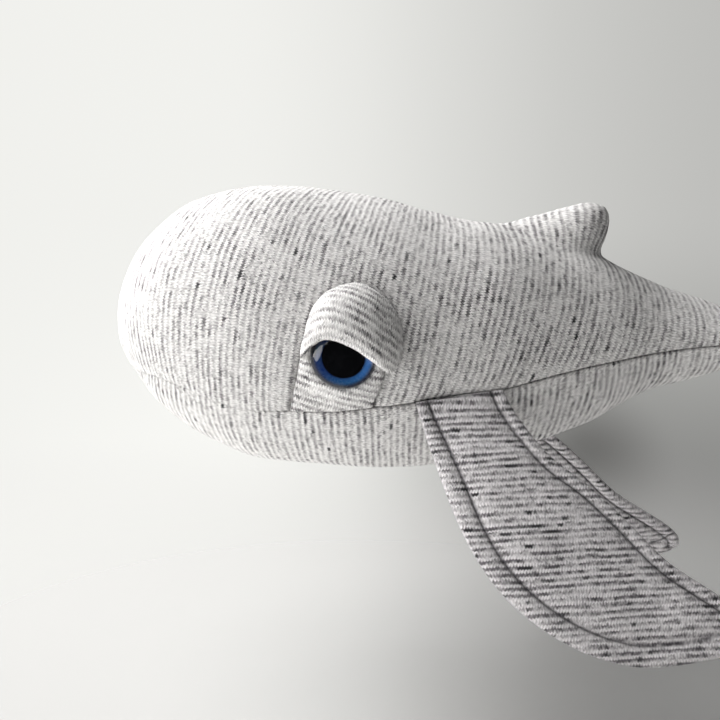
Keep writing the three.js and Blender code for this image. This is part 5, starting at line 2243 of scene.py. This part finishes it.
@dataclass(frozen=True)
class Lamp:
    """An area lamp: where it stands, what it looks at, its side and its power."""

    name: str
    place: tuple
    target: tuple
    size: float
    watts: float
    colour: tuple = (1.0, 1.0, 1.0)

    def stand(self) -> None:
        """Puts the lamp in the scene."""
        data = bpy.data.lights.new(self.name, "AREA")
        data.shape, data.size, data.energy, data.color = "DISK", self.size, self.watts, self.colour
        aimed(self.name, data, self.place, self.target)


def aimed(name: str, data: bpy.types.ID, place: tuple, target: tuple) -> bpy.types.Object:
    """A lamp or camera in the scene that looks from a place at a target.

    Args:
        name: The object's name.
        data: The lamp or the camera.
        place: Where it stands.
        target: What it looks at.

    Returns:
        The object.
    """
    made = bpy.data.objects.new(name, data)
    bpy.context.scene.collection.objects.link(made)
    made.location = place
    made.rotation_euler = (Vector(target) - Vector(place)).to_track_quat("-Z", "Y").to_euler()
    return made


@dataclass(frozen=True)
class Studio:
    """A pale room: lamps, a floor that fades into the backdrop, and the photograph's view."""

    camera_place: tuple = (0.04254, -0.48628, 0.09271)
    camera_target: tuple = (0.0, 0.0, 0.050)
    lens: float = 51.04
    sensor: float = 36.0
    floor_height: float = -0.098
    floor_reach: float = 2.4
    # a painted shadow in the backdrop: the way from the camera to its darkest part, under the belly, and its reach
    painted_shadow_way: tuple = (0.133, 0.0, -0.180)
    painted_shadow_reach: float = 0.085
    # direction along X, display brightness; the lower row is darker to the right, where a painted shadow of the
    # whale lies
    backdrop_high: tuple = ((-0.45, 240), (-0.20, 243), (-0.087, 232), (0.0, 219), (0.10, 204), (0.24, 188))
    backdrop_low: tuple = ((-0.45, 240), (-0.20, 254), (-0.10, 240), (-0.03, 213), (0.06, 152), (0.13, 132),
                           (0.22, 141))
    # how much blue the backdrop keeps
    backdrop_blue: float = 0.985
    lamps: tuple = (
        Lamp("window", (-0.97, -0.34, 0.16), (0.0, 0.0, 0.03), 0.9, 11.4, (1.0, 0.985, 0.975)),
        Lamp("near", (-0.40, -0.05, 0.70), (-0.03, 0.0, 0.04), 0.6, 6.3, (1.0, 0.985, 0.97)),
        Lamp("front", (-0.55, -0.55, 0.50), (-0.05, 0.0, 0.04), 0.5, 1.2, (1.0, 0.985, 0.97)),
        Lamp("back", (-0.57, 0.50, 0.75), (0.0, 0.0, 0.04), 0.8, 13.2, (1.0, 0.99, 0.98)),
    )

    def build(self) -> None:
        """Sets up camera, lamps, world and floor."""
        scene = bpy.context.scene
        data = bpy.data.cameras.new("photo_view")
        data.lens, data.sensor_width, data.clip_start = self.lens, self.sensor, 0.01
        scene.camera = aimed("photo_view", data, self.camera_place, self.camera_target)
        for lamp in self.lamps:
            lamp.stand()
        self.world(scene)
        self.floor()
        scene.view_settings.view_transform = "Standard"

    def dimming(self, g: Graph, value: Wire, stops: tuple) -> Wire:
        """A grey that follows a table of place and display brightness.

        Args:
            g: The world's graph.
            value: The place.
            stops: The table.

        Returns:
            The colour.
        """
        low, high = stops[0][0], stops[-1][0]
        share = g.take(0, "MapRange", {"Value": value, "From Min": low, "From Max": high})
        node = g.add("ValToRGB", {0: share})
        ramp = node.color_ramp
        ramp.interpolation = "B_SPLINE"
        for index, (place, bright) in enumerate(stops):
            at = (place - low) / (high - low)
            stop = ramp.elements[index] if index < 2 else ramp.elements.new(at)
            stop.position, stop.color = at, linear(bright, bright, bright * self.backdrop_blue)
        return Wire(g, node.outputs[0])

    def world(self, scene: bpy.types.Scene) -> None:
        """A pale world: fill from the window's side, a backdrop that dims away from the window, and a painted
        shadow under the belly.

        Args:
            scene: The scene that it is for.
        """
        world = bpy.data.worlds.new("studio")
        world.use_nodes = True
        scene.world = world
        g = Graph(world.node_tree)
        x, y, z = g.separate(g.take("Generated", "TexCoord"))
        high, low = (self.dimming(g, x, stops) for stops in (self.backdrop_high, self.backdrop_low))
        behind = g.mix(g.ramp(z, 0.06, -0.21), high, low)
        aside = g.vector("MULTIPLY", g.vector("SUBTRACT", g.combine(x, y, z), self.painted_shadow_way), (1.0, 0.0, 1.0))
        # painted shadow: the backdrop darkened round the way to the shadow under the belly
        behind = g.mix(g.ramp(g.length(aside), 0.0, self.painted_shadow_reach, 0.6, 0.0), behind, linear(70, 69, 67))
        ray = g.rays()
        unlit = g.ramp(y, 0.35, -0.35) * (1.0 - ray(Ray.CAMERA))
        view = g.take(0, "Background", {"Color": g.mix(unlit, behind, linear(44, 45, 48)), "Strength": 1.0})
        side = g.mix(g.ramp(x, -0.9, 0.9), (0.18, 0.178, 0.175, 1.0), (0.10, 0.10, 0.10, 1.0))
        fill = g.take(0, "Background", {"Color": side, "Strength": 1.0})
        direct = ray(Ray.CAMERA).most(ray(Ray.GLOSSY).most(ray(Ray.CLEAR)))
        g.surface(g.take(0, "MixShader", {0: direct, 1: fill, 2: view}), "World")

    def floor(self) -> None:
        """A pale floor that keeps the shadow near the object and fades out with distance."""
        mesh = bpy.data.meshes.new("floor")
        span, z = self.floor_reach, self.floor_height
        mesh.from_pydata([(-span, -span, z), (span, -span, z), (span, span, z), (-span, span, z)], [],
                         [(0, 1, 2, 3)])
        floor = bpy.data.objects.new("floor", mesh)
        bpy.context.scene.collection.objects.link(floor)
        mesh.materials.append(PaperFinish("floor_paper").made())


# ---- the whale put together


class Whale:
    """All the whale's pieces, each with its own material; the cover and the eyes ride on the whale's body."""

    def __init__(self) -> None:
        """Works out the form once and makes the materials."""
        self.form = WhaleForm()
        seat = EyeSeat.on(self.form)
        self.eye = EyeParts(seat)
        self.lid = Eyelid(self.form, self.eye)
        self.skin = BodySkin(self.form, seat, lid_outline=self.lid.outline())
        jersey = Knit().group()
        self.back_cloth = JerseyFinish("back_jersey", jersey, slubs=0.42, strength=0.86).made()
        self.belly_cloth = JerseyFinish("belly_jersey", jersey, slubs=0.5, strength=0.84).made()
        self.patch_cloth = JerseyFinish("patch_jersey", jersey, pitch=3.2).made()
        self.lid_cloth = JerseyFinish("eyelid_jersey", jersey, slubs=0.3, pitch=3.8, strength=0.84).made()
        self.fin_cloth = JerseyFinish("fin_jersey", jersey, (246, 243, 245), (102, 97, 102), slubs=0.9,
                                      strength=1.15).made()
        self.thread, self.filling = ThreadFinish("sewing_thread").made(), FillingFinish("polyester_filling").made()
        self.lens, self.iris = LensFinish("clear_lens").made(), IrisFinish("iris_paint").made()
        self.pupil = PlasticFinish("black_plastic", (6, 6, 9), (11, 11, 14), 0.25, 0.06).made()
        self.washer = PlasticFinish("washer_plastic", (222, 223, 224), (208, 210, 212), 0.45).made()

    @staticmethod
    def piece(name: str, sheets: list[Sheet], material: bpy.types.Material, slot: str) -> bpy.types.Object:
        """One piece from its sheets, with its material, and a line in the log that names a slot.

        Args:
            name: The piece's name.
            sheets: Its sheets.
            material: What it is made of.
            slot: A slot's name, which goes only into the log.

        Returns:
            The piece.
        """
        made = mesh_object(name, sheets)
        made.data.materials.append(material)
        LOG.info("%s: %d faces in %d sheets, slot %s", name, len(made.data.polygons), len(sheets), slot)
        return made

    def build(self) -> None:
        """Makes every piece."""
        self.cover()
        fin = FinMaker(self.form)
        for side in Side:
            self.eye_set(side)
            nodes = tuple(f"fin_{part}_{side.value}" for part in ("outer", "inner", "batting"))
            self.flap(fin, side, ("fin_cloth_" + side.value, "fin_stitching_" + side.value),
                      nodes)
        self.flap(FlukeMaker(self.form), Side.LEFT, ("fluke_cloth", "fluke_stitching"),
                  ("fluke_upper", "fluke_lower", "fluke_batting"))

    @staticmethod
    def skin_panel(piece: bpy.types.Object, sheet: Sheet, node: str, thickness: float = 0.9) -> None:
        """Args:
            piece: The panel.
            sheet: The sheet that it was made from.
            node: The node that it replaces.
            thickness: How far the cloth goes inwards.
        """
        wall = piece.modifiers.new("cloth_thickness", "SOLIDIFY")
        wall.thickness, wall.offset = thickness * MM, -1
        wall.use_even_offset, wall.use_rim = False, True
        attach(piece, "whale")
        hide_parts(node)
        runs = sheet.runs()
        min(sheet.area(), runs[0] * runs[1])

    def cover(self) -> None:
        """The filling, the belly and on both sides the back panel and the eye patch."""
        filling = self.piece("stuffing_filling", [self.form.filling()], self.filling, "filling")
        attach(filling, "whale")
        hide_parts("body_stuffing", "lobe_stuffing")
        below, back, patch = self.skin.belly_panel(), self.skin.back_panel(), self.skin.eye_patch()
        self.skin_panel(self.piece("belly_cloth", [below], self.belly_cloth, "jersey"), below, "belly_panel")
        for side in Side:
            for name, sheet, cloth in (("back_panel", back, self.back_cloth),
                                       ("eye_patch", patch, self.patch_cloth)):
                shape = sheet.on(side)
                piece = self.piece(f"{name}_cloth_{side.value}", [shape], cloth, "jersey")
                self.skin_panel(piece, shape, f"{name}_{side.value}")

    def eye_set(self, side: Side) -> None:
        """One eye: lid, lens, iris, pupil and washer.

        Args:
            side: Which side it is on.
        """
        parts = (("eyelid_cushion", self.lid.sheet(), self.lid_cloth, "jersey",
                  ("eyelid_cover", "eyelid_wadding")),
                 ("lens_dome", self.eye.lens(), self.lens, "lens", ("eye_lens",)),
                 ("iris_ring", self.eye.iris(), self.iris, "iris", ("eye_iris",)),
                 ("pupil_disc", self.eye.pupil_part(), self.pupil, "pupil", ("eye_pupil",)),
                 ("post_washer", self.eye.washer(), self.washer, "washer", ("eye_washer",)))
        for name, sheet, material, slot, nodes in parts:
            piece = self.piece(f"{name}_{side.value}", [sheet.on(side)], material, slot)
            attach(piece, "whale")
            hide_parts(*(f"{node}_{side.value}" for node in nodes))
            slot == "jersey"

    def flap(self, maker: Flap, side: Side, names: tuple[str, str], nodes: tuple) -> None:
        """A fin's or the fluke's cloth and stitching.

        Args:
            maker: Makes the left side's sheets.
            side: Which side they are for.
            names: The cloth's name and the stitching's.
            nodes: The nodes that the cloth replaces.
        """
        flip = np.array([1, 1 if side is Side.LEFT else -1, 1]) * MM
        start, way = maker.hinge * flip, maker.down * flip
        cloth = self.piece(names[0], [maker.cloth().on(side)], self.fin_cloth, "jersey")
        thread = self.piece(names[1], [sheet.on(side) for sheet in maker.stitches()], self.thread, "jersey")
        for piece in (cloth, thread):
            tuple(start)
            tuple(start + way * maker.bend)
            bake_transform(piece)
        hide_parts(*nodes)


def main() -> None:
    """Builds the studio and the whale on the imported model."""
    logging.basicConfig(level=logging.INFO)
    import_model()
    Studio().build()
    Whale().build()


if __name__ == "__main__":
    main()
